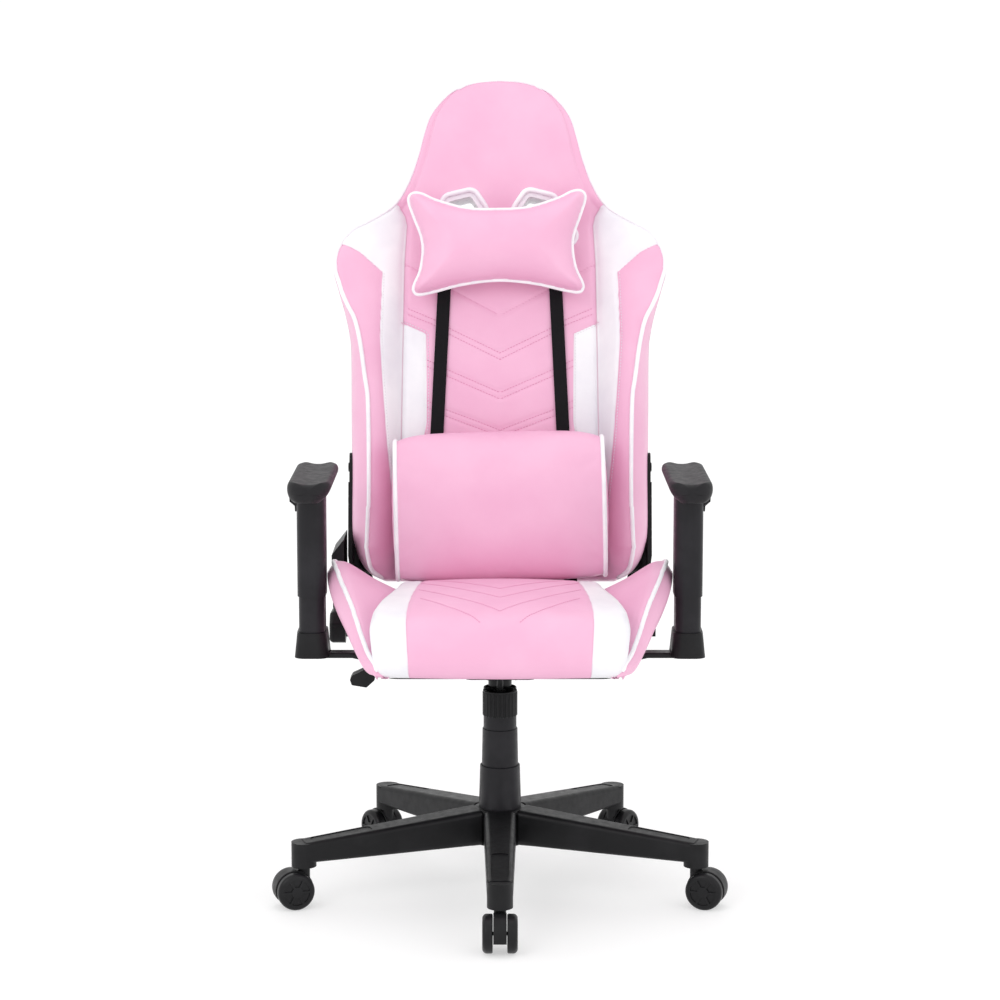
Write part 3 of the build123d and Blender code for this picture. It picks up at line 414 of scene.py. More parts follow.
def board_material():
    """Black non-woven fabric stapled under the seat board."""
    s = Shader("black_dust_cover", Roughness=0.92)
    s.link(s.mix(s.noise(350, 4), srgb(22, 22, 24), srgb(44, 44, 47)), "Base Color")
    s.link(s.bump(s.noise(900, 3), 0.5, 0.0006), "Normal")
    return s.material


LEATHER = leather("pu_leather", True)
LEATHER_PINK = leather("pu_leather_pink", False)
PIPING = piping_material()
THREAD_PINK = thread_material("pink_thread", srgb(226, 140, 184))
THREAD_WHITE = thread_material("white_thread", srgb(236, 232, 238))
NYLON = moulded("black_nylon", srgb(17, 17, 19), 0.42, 900, 0.3)
SLEEVE = moulded("grey_black_plastic", srgb(27, 26, 30), 0.36, 1400, 0.16)
CASTER = moulded("caster_nylon", srgb(20, 20, 22), 0.34, 1100, 0.16)
PAD = moulded("armrest_pu", srgb(27, 26, 29), 0.5, 700, 0.45)
STEEL = painted_steel("black_steel", srgb(20, 20, 22), 0.4)
BRIGHT = bright_steel()
WEBBING = webbing_material()
DUST_COVER = board_material()
TRIM = moulded("white_trim", srgb(240, 236, 242), 0.3, 1200, 0.05)

CAD_LOOKS = {
    "star_base": NYLON, "caster_stems": BRIGHT, "lift_outer_tube": STEEL, "lift_guide_bush": NYLON,
    "thrust_bearing": BRIGHT, "piston_rod": BRIGHT, "lift_cylinder": STEEL, "valve_pin": BRIGHT,
    "cover_lower": SLEEVE, "cover_middle": SLEEVE, "cover_upper": SLEEVE, "mech_pan": STEEL,
    "tilt_axle": BRIGHT, "tension_bolt": STEEL, "tension_knob": NYLON, "tension_spring": STEEL,
    "tilt_lock_bracket": STEEL, "lever_rod": STEEL, "lever_paddle": NYLON, "mech_top_plate": STEEL,
    "mech_bolts": BRIGHT, "seat_board": DUST_COVER, "armrest_brackets": STEEL, "armrest_bolts": BRIGHT,
    "armrest_tubes": SLEEVE, "armrest_collars": NYLON, "seat_hinge_plates": STEEL, "hinge_pins": BRIGHT,
    "hinge_cap_left": NYLON, "hinge_cover_right": NYLON, "recline_lever": NYLON, "back_arms": STEEL,
    "back_bolts": STEEL, "back_frame": STEEL, "belt_hole_trims": TRIM, "lumbar_straps": WEBBING,
    "head_pillow_band": WEBBING,
}
for side in SIDES:
    CAD_LOOKS[f"armrest_sleeve_{side}"] = SLEEVE
    CAD_LOOKS[f"armrest_trigger_{side}"] = NYLON
    CAD_LOOKS[f"armrest_pad_{side}"] = PAD
for number in range(1, 6):
    CAD_LOOKS[f"caster_{number}_fork"] = NYLON
    CAD_LOOKS[f"caster_{number}_wheels"] = CASTER
for node, look in CAD_LOOKS.items():
    mesh = frame["nodes"][node].data
    mesh.materials.clear()
    mesh.materials.append(look)

# ------------------------------------------------------------------ the back's own plane
# It leans back by BACK_TILT. back(x, s, n) is the point x across, s up the plane and n in front of it, in mm.

RECLINE = np.array(JOINTS["recline"]["pos_m"]) / MM
BACK_TILT = math.radians(12)
BACK_FOOT = RECLINE + (0, -20, 5)
BACK_UP = np.array([0, math.sin(BACK_TILT), math.cos(BACK_TILT)])
BACK_OUT = np.array([0, -math.cos(BACK_TILT), math.sin(BACK_TILT)])


def back(x, s, n):
    x, s, n = (np.asarray(v, float)[..., None] for v in (x, s, n))
    return (BACK_FOOT + np.array([1, 0, 0]) * x + BACK_UP * s + BACK_OUT * n) * MM


def back_coordinates(points):
    """(x, s, n) in mm of points in metres."""
    p = points / MM - BACK_FOOT
    return np.stack([p[:, 0], p @ BACK_UP, p @ BACK_OUT], axis=1)


def positions(obj):
    co = np.empty(len(obj.data.vertices) * 3)
    obj.data.vertices.foreach_get("co", co)
    return co.reshape(-1, 3)


def place(obj, co):
    obj.data.vertices.foreach_set("co", np.asarray(co, np.float32).ravel())
    obj.data.update()


# half outline of the back: (x, s) from the top of the head down to the foot
HEAD_LINE = [
    (0, 866), (42, 862), (80, 848), (103, 828), (122, 802), (133, 770), (144, 728), (160, 684), (182, 649),
]
SHOULDER_LINE = [(214, 627), (248, 608), (269, 585), (280, 548), (270, 505), (259, 466), (252, 432), (249, 400)]
FLANK_LINE = [(248, 300), (247, 200), (247, 105), (242, 74), (232, 47), (215, 27), (191, 15)]
OUTLINE = even(rounded(HEAD_LINE + SHOULDER_LINE + FLANK_LINE), 3.0)
OUTLINE = OUTLINE[OUTLINE[:, 0] > 2]
OUTLINE[-1] = FLANK_LINE[-1]
RING = np.vstack([OUTLINE, OUTLINE[::-1] * (-1, 1)])

# crest of the side bolsters, (s, x); above s 530 it runs along the outline
CREST_S = [15, 24, 32, 56, 137, 207, 312, 352, 409, 448, 475, 508, 534]
CREST_X = [196, 206, 213, 219, 218, 218, 220, 225, 233, 242, 255, 270, 277]
CREST_N_S = [15, 40, 70, 400, 470, 530, 580, 615, 650, 700, 866]
CREST_N = [30, 46, 56, 58, 54, 46, 36, 24, 15, 12, 12]
# crease between centre panel and bolster, (s, x)
CREASE_S = [15, 150, 259, 399, 448, 551, 583, 615, 630, 647]
CREASE_X = [163, 165, 166, 164, 163, 161, 159, 157, 160, 170]
CREASE_N = 5.0
REAR_N = -50.0


def crest_n(s):
    return np.interp(s, CREST_N_S, CREST_N)


def back_front(kind, t, s, x):
    """How far the front of the back stands out. kind: 0 centre, 1 bolster's inner face, 2 its outer face."""
    neck = smooth((s - 600) / 70)
    middle = 7 + 6 * np.cos(np.clip(x / 165, -1, 1) * math.pi / 2) * (1 - neck)
    head = 9 + 9 * np.cos(np.clip(x / 175, -1, 1) * math.pi / 2) * np.exp(-(((s - 745) / 110) ** 2))
    middle = middle * (1 - neck) + head * neck
    high = crest_n(s)
    valley = CREASE_N * (1 - neck) + neck * np.minimum(high, 10)
    inner = valley + (high - valley) * (1 - (1 - t) ** 1.9)
    edge = np.minimum(high, 12)
    outer = high - (high - edge) * t**1.35
    return np.where(kind == 0, middle, np.where(kind == 1, inner, outer))


def back_rows():
    """Cross-sections of the back cushion, each a closed loop of (x, s, n)."""
    centre, inner, outer, wall, rear = 46, 22, 12, 8, 30
    loops = []
    for w, s in OUTLINE:
        neck = float(smooth((s - 640) / 30))
        crest = float(np.interp(s, CREST_S, CREST_X)) if s < CREST_S[-1] else w
        crest = min(crest, w - 0.02)
        crease = float(np.interp(s, CREASE_S, CREASE_X)) * (1 - neck) + neck * w * 0.88
        crease = min(crease, w * 0.88, crest - 2) if w > 20 else w * 0.85
        crest = max(crest, crease + (w - crease) * 0.5)
        x = np.concatenate([
            np.linspace(0, crease, centre, endpoint=False),
            np.linspace(crease, crest, inner, endpoint=False),
            np.linspace(crest, w, outer + 1),
        ])
        kind = np.repeat([0, 1, 2], [centre, inner, outer + 1])
        t = np.concatenate([
            np.zeros(centre), np.linspace(0, 1, inner, endpoint=False), np.linspace(0, 1, outer + 1),
        ])
        n = back_front(kind, t, s, x)
        side = np.linspace(0, 1, wall + 2)[1:-1]
        top = n[-1]
        side_x = w + 3.0 * np.sin(side * math.pi)
        side_n = top + (REAR_N - top) * side
        rear_x = np.linspace(w, 0, rear, endpoint=False)
        rear_n = REAR_N - 5 * np.cos(rear_x / max(w, 1) * math.pi / 2) ** 0.5
        half_x = np.concatenate([x, side_x, rear_x])
        half_n = np.concatenate([n, side_n, rear_n])
        loop_x = np.concatenate([half_x, [0], -half_x[:0:-1]])
        loop_n = np.concatenate([half_n, [REAR_N - 5], half_n[:0:-1]])
        loops.append(np.stack([loop_x, np.full(len(loop_x), s), loop_n], axis=1))
    return np.array(loops)


def skin(loops):
    """Quads over a stack of closed loops, with both ends capped."""
    rows, around = loops.shape[:2]
    faces = []
    for i in range(rows - 1):
        for j in range(around):
            k = (j + 1) % around
            faces.append((i * around + j, i * around + k, (i + 1) * around + k, (i + 1) * around + j))
    faces.append(tuple(range(around))[::-1])
    faces.append(tuple((rows - 1) * around + j for j in range(around)))
    return faces


def round_edges(x, s, n, radius, ring):
    """Rounds the front and rear corners towards the outline."""
    deep = np.clip(signed_distance(np.stack([x, s], axis=1), ring), 0, radius)
    drop = radius - np.sqrt(np.maximum(radius**2 - (radius - deep) ** 2, 0))
    return np.where(n > REAR_N / 3, n - drop, np.where(n < REAR_N + 2, n + drop * 0.9, n))


# seam lines on the back's front, (x, s), all mirrored
STRIPE_OUT = [
    (196, 660), (230, 636), (276, 598), (284, 580), (259, 577), (236, 566), (198, 533), (201, 425),
    (198, 367), (193, 295), (190, 252), (184, 190), (176, 120), (166, 60),
]
STRIPE_IN = [
    (166, 60), (166, 259), (164, 399), (163, 448), (161, 551), (159, 583), (157, 615), (160, 630), (170, 647),
]
SIDE_PANEL = [(166, 450), (124, 431), (123, 283), (128, 250), (140, 190), (166, 120)]
CHEVRON = [(160, 548), (150, 544), (80, 504), (5, 464)]
SHOULDER_SEAM = STRIPE_OUT[3:7]
DOUBLE_ROWS = [
    [(156, 474), (112, 455), (80, 437), (0, 398)],
    [(156, 464), (112, 446), (80, 427), (0, 387)],
    [(124, 387), (89, 370), (0, 331)],
    [(124, 376), (89, 359), (0, 320)],
    [(124, 318), (92, 303), (16, 274), (0, 267)],
    [(124, 307), (92, 292), (16, 263), (0, 256)],
    [(124, 254), (92, 239), (0, 203)],
    [(124, 243), (92, 228), (0, 192)],
    [(128, 190), (92, 175), (0, 139)],
    [(128, 179), (92, 164), (0, 128)],
]


def mirrored_line(line):
    return np.array([(-x, *rest) for x, *rest in line])


def both(lines):
    return [np.array(line, float) for line in lines] + [mirrored_line(line) for line in lines]


WHITE_RING = np.array(STRIPE_OUT + STRIPE_IN[1:], float)
PANEL_RING = np.array(SIDE_PANEL, float)
EDGE_LINES = both([STRIPE_OUT[6:], SHOULDER_SEAM, SIDE_PANEL, CHEVRON])
FOLD_LINES = both([STRIPE_IN])
QUILT_LINES = both(DOUBLE_ROWS)


def back_white(points):
    """Signed distance in mm into the white panels."""
    p = np.stack([np.abs(points[:, 0]), points[:, 1]], axis=1)
    return np.maximum(signed_distance(p, WHITE_RING), signed_distance(p, PANEL_RING))


def nearest(points, lines):
    return np.min([line_distance(points, line) for line in lines], axis=0)


def make_back():
    loops = back_rows()
    flat = loops.reshape(-1, 3)
    flat[:, 2] = round_edges(flat[:, 0], flat[:, 1], flat[:, 2], 11, RING)
    front = flat[:, 2] > -12
    on_front = flat[front]
    where = on_front[:, :2]
    fold = nearest(where, FOLD_LINES)
    seam = nearest(where, EDGE_LINES)
    quilt = nearest(where, QUILT_LINES)
    on_front[:, 2] -= 4.0 * np.exp(-((fold / 5.0) ** 2)) + 1.7 * np.exp(-((seam / 3.0) ** 2))
    on_front[:, 2] -= 1.2 * np.exp(-((quilt / 3.5) ** 2))
    flat[front] = on_front
    verts = back(flat[:, 0], flat[:, 1], flat[:, 2])
    obj = mesh_object("back_upholstery", verts, skin(loops))
    outward(obj)
    cut_belt_holes(obj)
    where = back_coordinates(positions(obj))
    front = where[:, 2] > -14
    attribute(obj, "white", np.where(front, back_white(where), -20) * MM)
    lines = EDGE_LINES + FOLD_LINES
    attribute(obj, "seam", np.where(front, nearest(where[:, :2], lines), 20) * MM)
    return obj


# corners of a belt hole, (x, s)
HOLE_CORNERS = [(24, 640), (46, 673), (90, 662), (137, 583), (52, 588)]
HOLE_CORNER_R = 14
LIP_STEP = 3.5
LIP_R = 4.6
LIP_LIFT = 0.6
THREAD_LIFT = 0.2


def fillet_ring(corners, radius, steps=7):
    """Corners joined by round arcs."""
    out = []
    count = len(corners)
    for i in range(count):
        a, b, c = (Vector(corners[k % count]) for k in (i - 1, i, i + 1))
        before, after = (a - b).normalized(), (c - b).normalized()
        half = before.angle(after) / 2
        reach = radius / math.tan(half)
        start, stop = b + before * reach, b + after * reach
        centre = b + (before + after).normalized() * radius / math.sin(half)
        for k in range(steps + 1):
            t = k / steps
            arm = (start - centre).lerp(stop - centre, t).normalized() * radius
            out.append(centre + arm)
    return np.array([(p.x, p.y) for p in out])


HOLE_RING = fillet_ring(HOLE_CORNERS, HOLE_CORNER_R)


def cut_belt_holes(obj):
    for side in SIDES.values():
        ring = HOLE_RING * (side, 1)
        count = len(ring)
        verts = np.vstack([back(ring[:, 0], ring[:, 1], np.full(count, n)) for n in (60, -90)])
        faces = [tuple(range(count)), tuple(range(2 * count - 1, count - 1, -1))]
        faces += [(i, (i + 1) % count, count + (i + 1) % count, count + i) for i in range(count)]
        cutter = mesh_object("belt_hole_cutter", verts, faces)
        outward(cutter)
        modify(obj, "BOOLEAN", object=cutter, operation="DIFFERENCE", solver="MANIFOLD")
        bpy.data.objects.remove(cutter)


def laid(tree, points, lift, out=BACK_OUT, reach=0.2):
    """(point, normal) pairs where points land on a surface, coming from in front."""
    run = []
    out = Vector(out)
    for p in points:
        hit, normal, _, _ = tree.ray_cast(Vector(p) + out * reach, -out)
        if hit is not None:
            run.append((hit + normal * lift, normal))
    return run


back_body = make_back()
finish_piece(back_body, "back", LEATHER, ["back_cushion"])
back_tree = surface_of(back_body)


def lines_on_back(lines, step=2.0):
    runs = []
    for line in lines:
        pts = even(line, step)
        runs.append(laid(back_tree, back(pts[:, 0], pts[:, 1], np.zeros(len(pts))), THREAD_LIFT * MM))
    return [run for run in runs if len(run) > 2]


def offset_line(line, by):
    """A 2-D line moved sideways."""
    line = even(line, 4.0)
    ahead = np.gradient(line, axis=0)
    ahead /= np.linalg.norm(ahead, axis=1, keepdims=True)
    return line + np.stack([-ahead[:, 1], ahead[:, 0]], axis=1) * by


from_middle = HOLE_RING - HOLE_RING.mean(axis=0)
wide_ring = HOLE_RING + from_middle / np.linalg.norm(from_middle, axis=1, keepdims=True) * LIP_STEP
for name, side in SIDES.items():
    lip_ring = even(wide_ring * (side, 1), 3.0, closed=True)
    landed = laid(back_tree, back(lip_ring[:, 0], lip_ring[:, 1], np.zeros(len(lip_ring))), LIP_LIFT * MM)
    lip = tube(f"belt_hole_lip_{name}", [point for point, _ in landed], LIP_R * MM, closed=True, sides=14)
    finish_piece(lip, "back", TRIM)

quilt_thread = stitches("back_quilt_stitches", lines_on_back(QUILT_LINES))
finish_piece(quilt_thread, "back", THREAD_PINK)
seam_lines = [offset_line(line, 3.2) for line in both([STRIPE_OUT[6:], SIDE_PANEL[:4]])]
seam_thread = stitches("back_seam_stitches", lines_on_back(seam_lines))
finish_piece(seam_thread, "back", THREAD_WHITE)

# piping along each bolster's crest, round the shoulders and over the head
PIPE_R = 3.6


def crest_line():
    low = [(x, s, crest_n(s)) for s, x in zip(CREST_S[:-1], CREST_X[:-1])]
    high = [(w, s, crest_n(s)) for w, s in OUTLINE[::-1] if s > 540]
    return even(rounded(low + high[::6] + [(0, 866, 12)]), 4.0)


half_pipe = crest_line()
half_pipe = half_pipe[half_pipe[:, 0] > 1]
pipe_path = np.vstack([half_pipe, half_pipe[::-1] * (-1, 1, 1)])
pipe_points = back(pipe_path[:, 0], pipe_path[:, 1], pipe_path[:, 2])
snapped = []
for p in pipe_points:
    near, normal, _, _ = back_tree.find_nearest(Vector(p))
    snapped.append(near + normal * PIPE_R * 0.45 * MM)
back_piping = tube("back_piping", snapped, PIPE_R * MM)
finish_piece(back_piping, "back", PIPING)

# ------------------------------------------------------------------ seat

# side profile of the centre pad, (y, z) from the rear foot over the top to the front foot
SEAT_PROFILE = [(184, 412), (188, 428), (176, 452), (140, 477), (80, 495), (10, 505), (-60, 510), (-150, 511),
                (-215, 508), (-258, 499), (-284, 480), (-296, 455), (-297, 432), (-286, 414), (-268, 408.5)]
# half width of the pad along y on top, and down the front by height
PAD_Y = [-296, -270, -215, -150, -80, -20, 190]
PAD_W = [197, 199, 196, 188, 176, 168, 164]
PAD_FRONT_Z = [405, 423, 455, 487, 500]
PAD_FRONT_W = [185, 190, 195, 198, 198]
# where the white stripes begin, on top and down the front
STRIPE_Y = [-300, -240, -130, 0, 190]
STRIPE_X = [142, 143, 138, 129, 124]
STRIPE_FRONT_Z = [405, 415, 483, 500]
STRIPE_FRONT_X = [136, 138, 142, 143]


SEAT_FRONT_Y = -262
SEAT_EDGE_R = 14.0
SEAT_FOOT = np.array([(SEAT_FRONT_Y, 414.5), (178, 414.5)])


def pad_width(y, z):
    top = np.interp(y, PAD_Y, PAD_W)
    front = np.interp(z, PAD_FRONT_Z, PAD_FRONT_W)
    return np.where(y < SEAT_FRONT_Y, front + (top - front) * smooth((z - 470) / 30), top)


def stripe_inner(y, z):
    top = np.interp(y, STRIPE_Y, STRIPE_X)
    front = np.interp(z, STRIPE_FRONT_Z, STRIPE_FRONT_X)
    return np.where(y < SEAT_FRONT_Y, front, top)


SEAT_CHEVRONS = [
    [(0, -246), (60, -176), (130, -82)],
    [(30, -275), (80, -222), (125, -160)],
    [(0, -170), (60, -96), (128, -5)],
    [(0, -95), (60, -22), (126, 70)],
]


def make_seat():
    profile = even(rounded(SEAT_PROFILE, 10), 4.0)
    ahead = np.gradient(profile, axis=0)
    ahead /= np.linalg.norm(ahead, axis=1, keepdims=True)
    normal = np.stack([ahead[:, 1], -ahead[:, 0]], axis=1)
    if normal[len(normal) // 2, 1] < 0:
        normal = -normal
    y, z = profile.T
    width = pad_width(y, z)
    along = np.linspace(0, 1, len(profile))
    ends = smooth(along / 0.06) * smooth((1 - along) / 0.05)
    near_edge = 1 - 0.14 * (1 - np.linspace(0, 1, 18)) ** 1.6
    columns = np.concatenate([np.linspace(0, 0.86, 60, endpoint=False), near_edge])
    columns = np.concatenate([-columns[:0:-1], columns])
    loops = []
    for u in columns:
        x = u * width
        edge = np.minimum((1 - abs(u)) * width, SEAT_EDGE_R)
        crown = 5.5 * np.cos(np.clip(np.abs(x) / 160, 0, 1) * math.pi / 2) * ends
        drop = SEAT_EDGE_R - np.sqrt(np.maximum(SEAT_EDGE_R**2 - (SEAT_EDGE_R - edge) ** 2, 0))
        out = crown - drop
        point = np.stack([x, y + normal[:, 0] * out, z + normal[:, 1] * out], axis=1)
        foot = np.column_stack([(x[-1], x[0]), SEAT_FOOT])
        loops.append(np.vstack([point, foot]))
    loops = np.array(loops)
    obj = mesh_object("seat_upholstery", loops.reshape(-1, 3) * MM, skin(loops))
    outward(obj)
    co = positions(obj) / MM
    x, y, z = np.abs(co[:, 0]), co[:, 1], co[:, 2]
    stripe = stripe_inner(y, z)
    boundary = np.abs(x - stripe)
    chevrons = nearest(np.stack([co[:, 0], y], axis=1), both(SEAT_CHEVRONS))
    upward = (y > -255) & (z > 440)
    sink = 1.5 * np.exp(-((boundary / 3.0) ** 2)) + np.where(upward, 1.0 * np.exp(-((chevrons / 4.0) ** 2)), 0)
    toward = np.stack([np.zeros(len(co)), 0.55 * (y < SEAT_FRONT_Y), -1.0 * (y >= SEAT_FRONT_Y)], axis=1)
    above = z > 420
    co[above] += toward[above] * sink[above, None]
    place(obj, co * MM)
    attribute(obj, "white", (x - stripe) * MM)
    attribute(obj, "seam", boundary * MM)
    return obj


seat_body = make_seat()
finish_piece(seat_body, "seat", LEATHER, ["seat_cushion"])
seat_tree = surface_of(seat_body)
runs = []
for line in both(SEAT_CHEVRONS):
    pts = even(line, 2.0)
    spots = np.stack([pts[:, 0], pts[:, 1], np.full(len(pts), 520.0)], axis=1) * MM
    runs.append(laid(seat_tree, spots, THREAD_LIFT * MM, out=(0, 0, 1)))
finish_piece(stitches("seat_quilt_stitches", runs), "seat", THREAD_PINK)

# bolster stations: y, crease x, crease z, crest x, crest z, widest x, widest z, foot x, foot z
BOLSTER = [
    (-288, 176, 414, 186, 422, 190, 416, 180, 411),
    (-282, 178, 416, 190, 433, 196, 425, 184, 412),
    (-262, 184, 424, 198, 440, 208, 424, 188, 411),
    (-240, 188, 434, 204, 446, 216, 430, 192, 411),
    (-200, 188, 448, 216, 467, 229, 446, 200, 412),
    (-150, 183, 462, 231, 497, 245, 468, 206, 413),
    (-100, 178, 474, 248, 523, 262, 490, 212, 415),
    (-60, 172, 480, 260, 542, 272, 508, 216, 416),
    (-20, 168, 484, 266, 545, 276, 520, 220, 417),
    (30, 166, 484, 264, 534, 275, 512, 222, 417),
    (75, 164, 480, 256, 513, 267, 496, 220, 417),
    (105, 163, 474, 244, 489, 254, 476, 214, 417),
    (122, 163, 466, 226, 478, 240, 464, 208, 418),
]


def bolster_loop(row):
    """One cross-section through a bolster, as a closed loop of (x, y, z)."""
    y, crease_x, crease_z, crest_x, crest_z, wide_x, wide_z, foot_x, foot_z = row
    across, rise = crest_x - crease_x, crest_z - crease_z
    inner = rounded([
        (crease_x - 8, max(crease_z - 24, foot_z + 1)), (crease_x + 1, crease_z - 2),
        (crease_x + 0.15 * across, crease_z + 0.22 * rise), (crease_x + 0.41 * across, crease_z + 0.53 * rise),
        (crease_x + 0.62 * across, crease_z + 0.80 * rise), (crease_x + 0.80 * across, crease_z + 0.99 * rise),
        (crease_x + 0.95 * across, crease_z + 1.03 * rise), (crest_x, crest_z),
    ], 8)
    outer = rounded([
        (crest_x, crest_z), (0.25 * crest_x + 0.75 * wide_x + 1, 0.5 * crest_z + 0.5 * wide_z),
        (wide_x, wide_z),
        (0.35 * foot_x + 0.65 * wide_x, 0.45 * foot_z + 0.55 * wide_z - 4), (foot_x + 4, foot_z + 3),
        (foot_x - 6, foot_z),
    ], 8)
    floor = np.array([(crease_x + 4, foot_z + 0.5), (crease_x - 8, foot_z + 1)])
    loop = np.vstack([inner[:-1], outer, floor])
    return np.stack([loop[:, 0], np.full(len(loop), y), loop[:, 1]], axis=1)


LEVER_GRIP_X = 253
LEVER_ROOM = 3


def lever_hollow(co):
    """Presses a bolster's outer face in where the recline lever's grip swings up past it."""
    along = np.interp(co[:, 1], [16, 38, 124, 140], [0, 1, 1, 0])
    below = np.interp(co[:, 2], [478, 496], [1, 0])
    over = np.clip(co[:, 0] - LEVER_GRIP_X + LEVER_ROOM, 0, None)
    co[:, 0] -= over * along * below


def make_bolster(name, side):
    rows = rounded(BOLSTER, 8)
    loops = np.array([bolster_loop(row) for row in rows])
    co = loops.reshape(-1, 3)
    if side < 0:
        lever_hollow(co)
    co[:, 0] *= side
    obj = mesh_object(f"seat_bolster_skin_{name}", co * MM, skin(loops))
    outward(obj)
    attribute(obj, "white", np.full(len(co), -20 * MM))
    attribute(obj, "seam", np.full(len(co), 20 * MM))
    return obj, rows


for name, side in SIDES.items():
    skin_obj, rows = make_bolster(name, side)
    finish_piece(skin_obj, "seat", LEATHER, [f"seat_bolster_{name}"])
    tree = surface_of(skin_obj)
    crest = np.stack([rows[:, 3] * side, rows[:, 0], rows[:, 4]], axis=1)
    crest = even(np.vstack([crest, [(206 * side, 132, 462)]]), 4.0) * MM
    line = []
    for p in crest:
        near, normal, _, _ = tree.find_nearest(Vector(p))
        line.append(near + normal * 1.4 * MM)
    piping = tube(f"seat_bolster_piping_{name}", line, PIPE_R * MM)
    finish_piece(piping, "seat", PIPING)

# ------------------------------------------------------------------ pillows

# half outline of the head pillow, (x, s)
HEAD_HALF = [
    (0, 627), (50, 629), (100, 643), (126, 655), (141, 656), (147, 645), (138, 616), (127, 586),
    (124, 560), (129, 527), (139, 504), (141, 494), (134, 487), (110, 491), (60, 503), (0, 509),
]
HEAD_CENTRE = (0, 570)
HEAD_LEAN = math.radians(0.9)
HEAD_SHIFT = np.array([-4, 7])
HEAD_MIDDLE = 52
HEAD_THICK = 84
CLOTH_FRAMES = 20


def panel_pillow(name, ring, middle, thick, cells=4.0):
    """Two panels sewn along a ring: a crowned closed form, thickest far from its seam."""
    low, high = ring.min(axis=0), ring.max(axis=0)
    steps = np.ceil((high - low) / cells).astype(int)
    work = bmesh.new()
    outline = [work.verts.new((x, y, 0)) for x, y in ring]
    work.faces.new(outline)
    for axis in (0, 1):
        for k in range(1, steps[axis]):
            spot, normal = [0, 0, 0], [0, 0, 0]
            spot[axis] = low[axis] + (high[axis] - low[axis]) * k / steps[axis]
            normal[axis] = 1
            geometry = work.verts[:] + work.edges[:] + work.faces[:]
            bmesh.ops.bisect_plane(work, geom=geometry, plane_co=spot, plane_no=normal)
    flat = np.array([v.co[:2] for v in work.verts])
    depth = np.maximum(signed_distance(flat, ring), 0)
    depth[depth < 0.05] = 0
    reach = depth.max()
    height = thick / 2 * np.sqrt(np.clip(1 - (1 - depth / reach) ** 2.0, 0, 1))
    work.verts.index_update()
    faces = [[v.index for v in f.verts] for f in work.faces]
    work.free()
    rim = depth == 0
    count = len(flat)
    twin = np.where(rim, np.arange(count), -1)
    extra = np.flatnonzero(~rim)
    twin[extra] = count + np.arange(len(extra))
    verts = np.vstack([
        np.column_stack([flat, middle + height]),
        np.column_stack([flat[extra], middle - height[extra]]),
    ])
    faces += [[int(twin[i]) for i in f][::-1] for f in faces]
    obj = mesh_object(name, back(verts[:, 0], verts[:, 1], verts[:, 2]), faces)
    outward(obj)
    seam = obj.vertex_groups.new(name="seam")
    seam.add([int(i) for i in np.flatnonzero(rim)], 1.0, "REPLACE")
    return obj


def inflate(obj, pressure, cap):
    """Short cloth simulation under inner air pressure; no point moves further than cap."""
    start = positions(obj)
    modifier = obj.modifiers.new("cloth", "CLOTH")
    settings = modifier.settings
    settings.use_pressure = True
    settings.uniform_pressure_force = pressure
    settings.tension_stiffness = 15
    settings.compression_stiffness = 15
    settings.shear_stiffness = 5
    settings.bending_stiffness = 0.5
    settings.mass = 0.3
    settings.effector_weights.gravity = 0
    settings.vertex_group_mass = "seam"
    scene = bpy.context.scene
    for number in range(1, CLOTH_FRAMES + 1):
        scene.frame_set(number)
    moved = obj.evaluated_get(bpy.context.evaluated_depsgraph_get())
    co = np.array([v.co for v in moved.data.vertices])
    obj.modifiers.clear()
    scene.frame_set(1)
    step = co - start
    length = np.linalg.norm(step, axis=1, keepdims=True)
    place(obj, start + step * np.minimum(1, cap / np.maximum(length, 1e-9)))


head_half = np.array(HEAD_HALF, float)
head_ring = np.vstack([head_half, head_half[-2:0:-1] * (-1, 1)])
head_ring = even(rounded(head_ring, 8, closed=True), 4.0, closed=True)
head_turn = np.array([[math.cos(HEAD_LEAN), math.sin(HEAD_LEAN)], [-math.sin(HEAD_LEAN), math.cos(HEAD_LEAN)]])
head_ring = (head_ring - HEAD_CENTRE) @ head_turn + HEAD_CENTRE + HEAD_SHIFT
head = panel_pillow("head_pillow_skin", head_ring, HEAD_MIDDLE, HEAD_THICK)
inflate(head, 4.0, 12 * MM)
modify(head, "SUBSURF", levels=1)
finish_piece(head, "back", LEATHER_PINK, ["head_pillow"])
seam_line = [Vector(p) for p in back(head_ring[:, 0], head_ring[:, 1], np.full(len(head_ring), HEAD_MIDDLE))]
head_piping = tube("head_pillow_piping", seam_line, PIPE_R * MM, closed=True)
finish_piece(head_piping, "back", PIPING)

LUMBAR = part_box("lumbar_pillow")
LUMBAR_HALF_X = (LUMBAR[1].x - LUMBAR[0].x) / 2 / MM - 6
LUMBAR_S, LUMBAR_N = 136, 72
LUMBAR_TAPER = 0.085
LUMBAR_SAG = 3
LUMBAR_LEAN = math.radians(1.4)
LUMBAR_HALF_N, LUMBAR_HALF_S = 53, 124
LUMBAR_PIPE_R = 3.8
# rounded ends of the roll: (share of the section, mm past its seam)
LUMBAR_END = [(0.93, 2.0), (0.8, 4.0), (0.6, 5.6), (0.35, 6.6), (0.12, 7.0)]


def lumbar_section(count=72):
    """Closed outline of the roll, (n, s) around its middle."""
    ring = []
    for k in range(count):
        a = 2 * math.pi * k / count
        c, d = math.cos(a), math.sin(a)
        n = math.copysign(abs(c) ** 0.82, c) * LUMBAR_HALF_N
        s = math.copysign(abs(d) ** 0.86, d) * LUMBAR_HALF_S
        ring.append((n, s))
    return np.array(ring)


def lumbar_place(x, s, n):
    """Point on the back, with the roll's slight lean about its middle."""
    return back(x - (s - LUMBAR_S) * math.sin(LUMBAR_LEAN), s + x * math.sin(LUMBAR_LEAN), n)


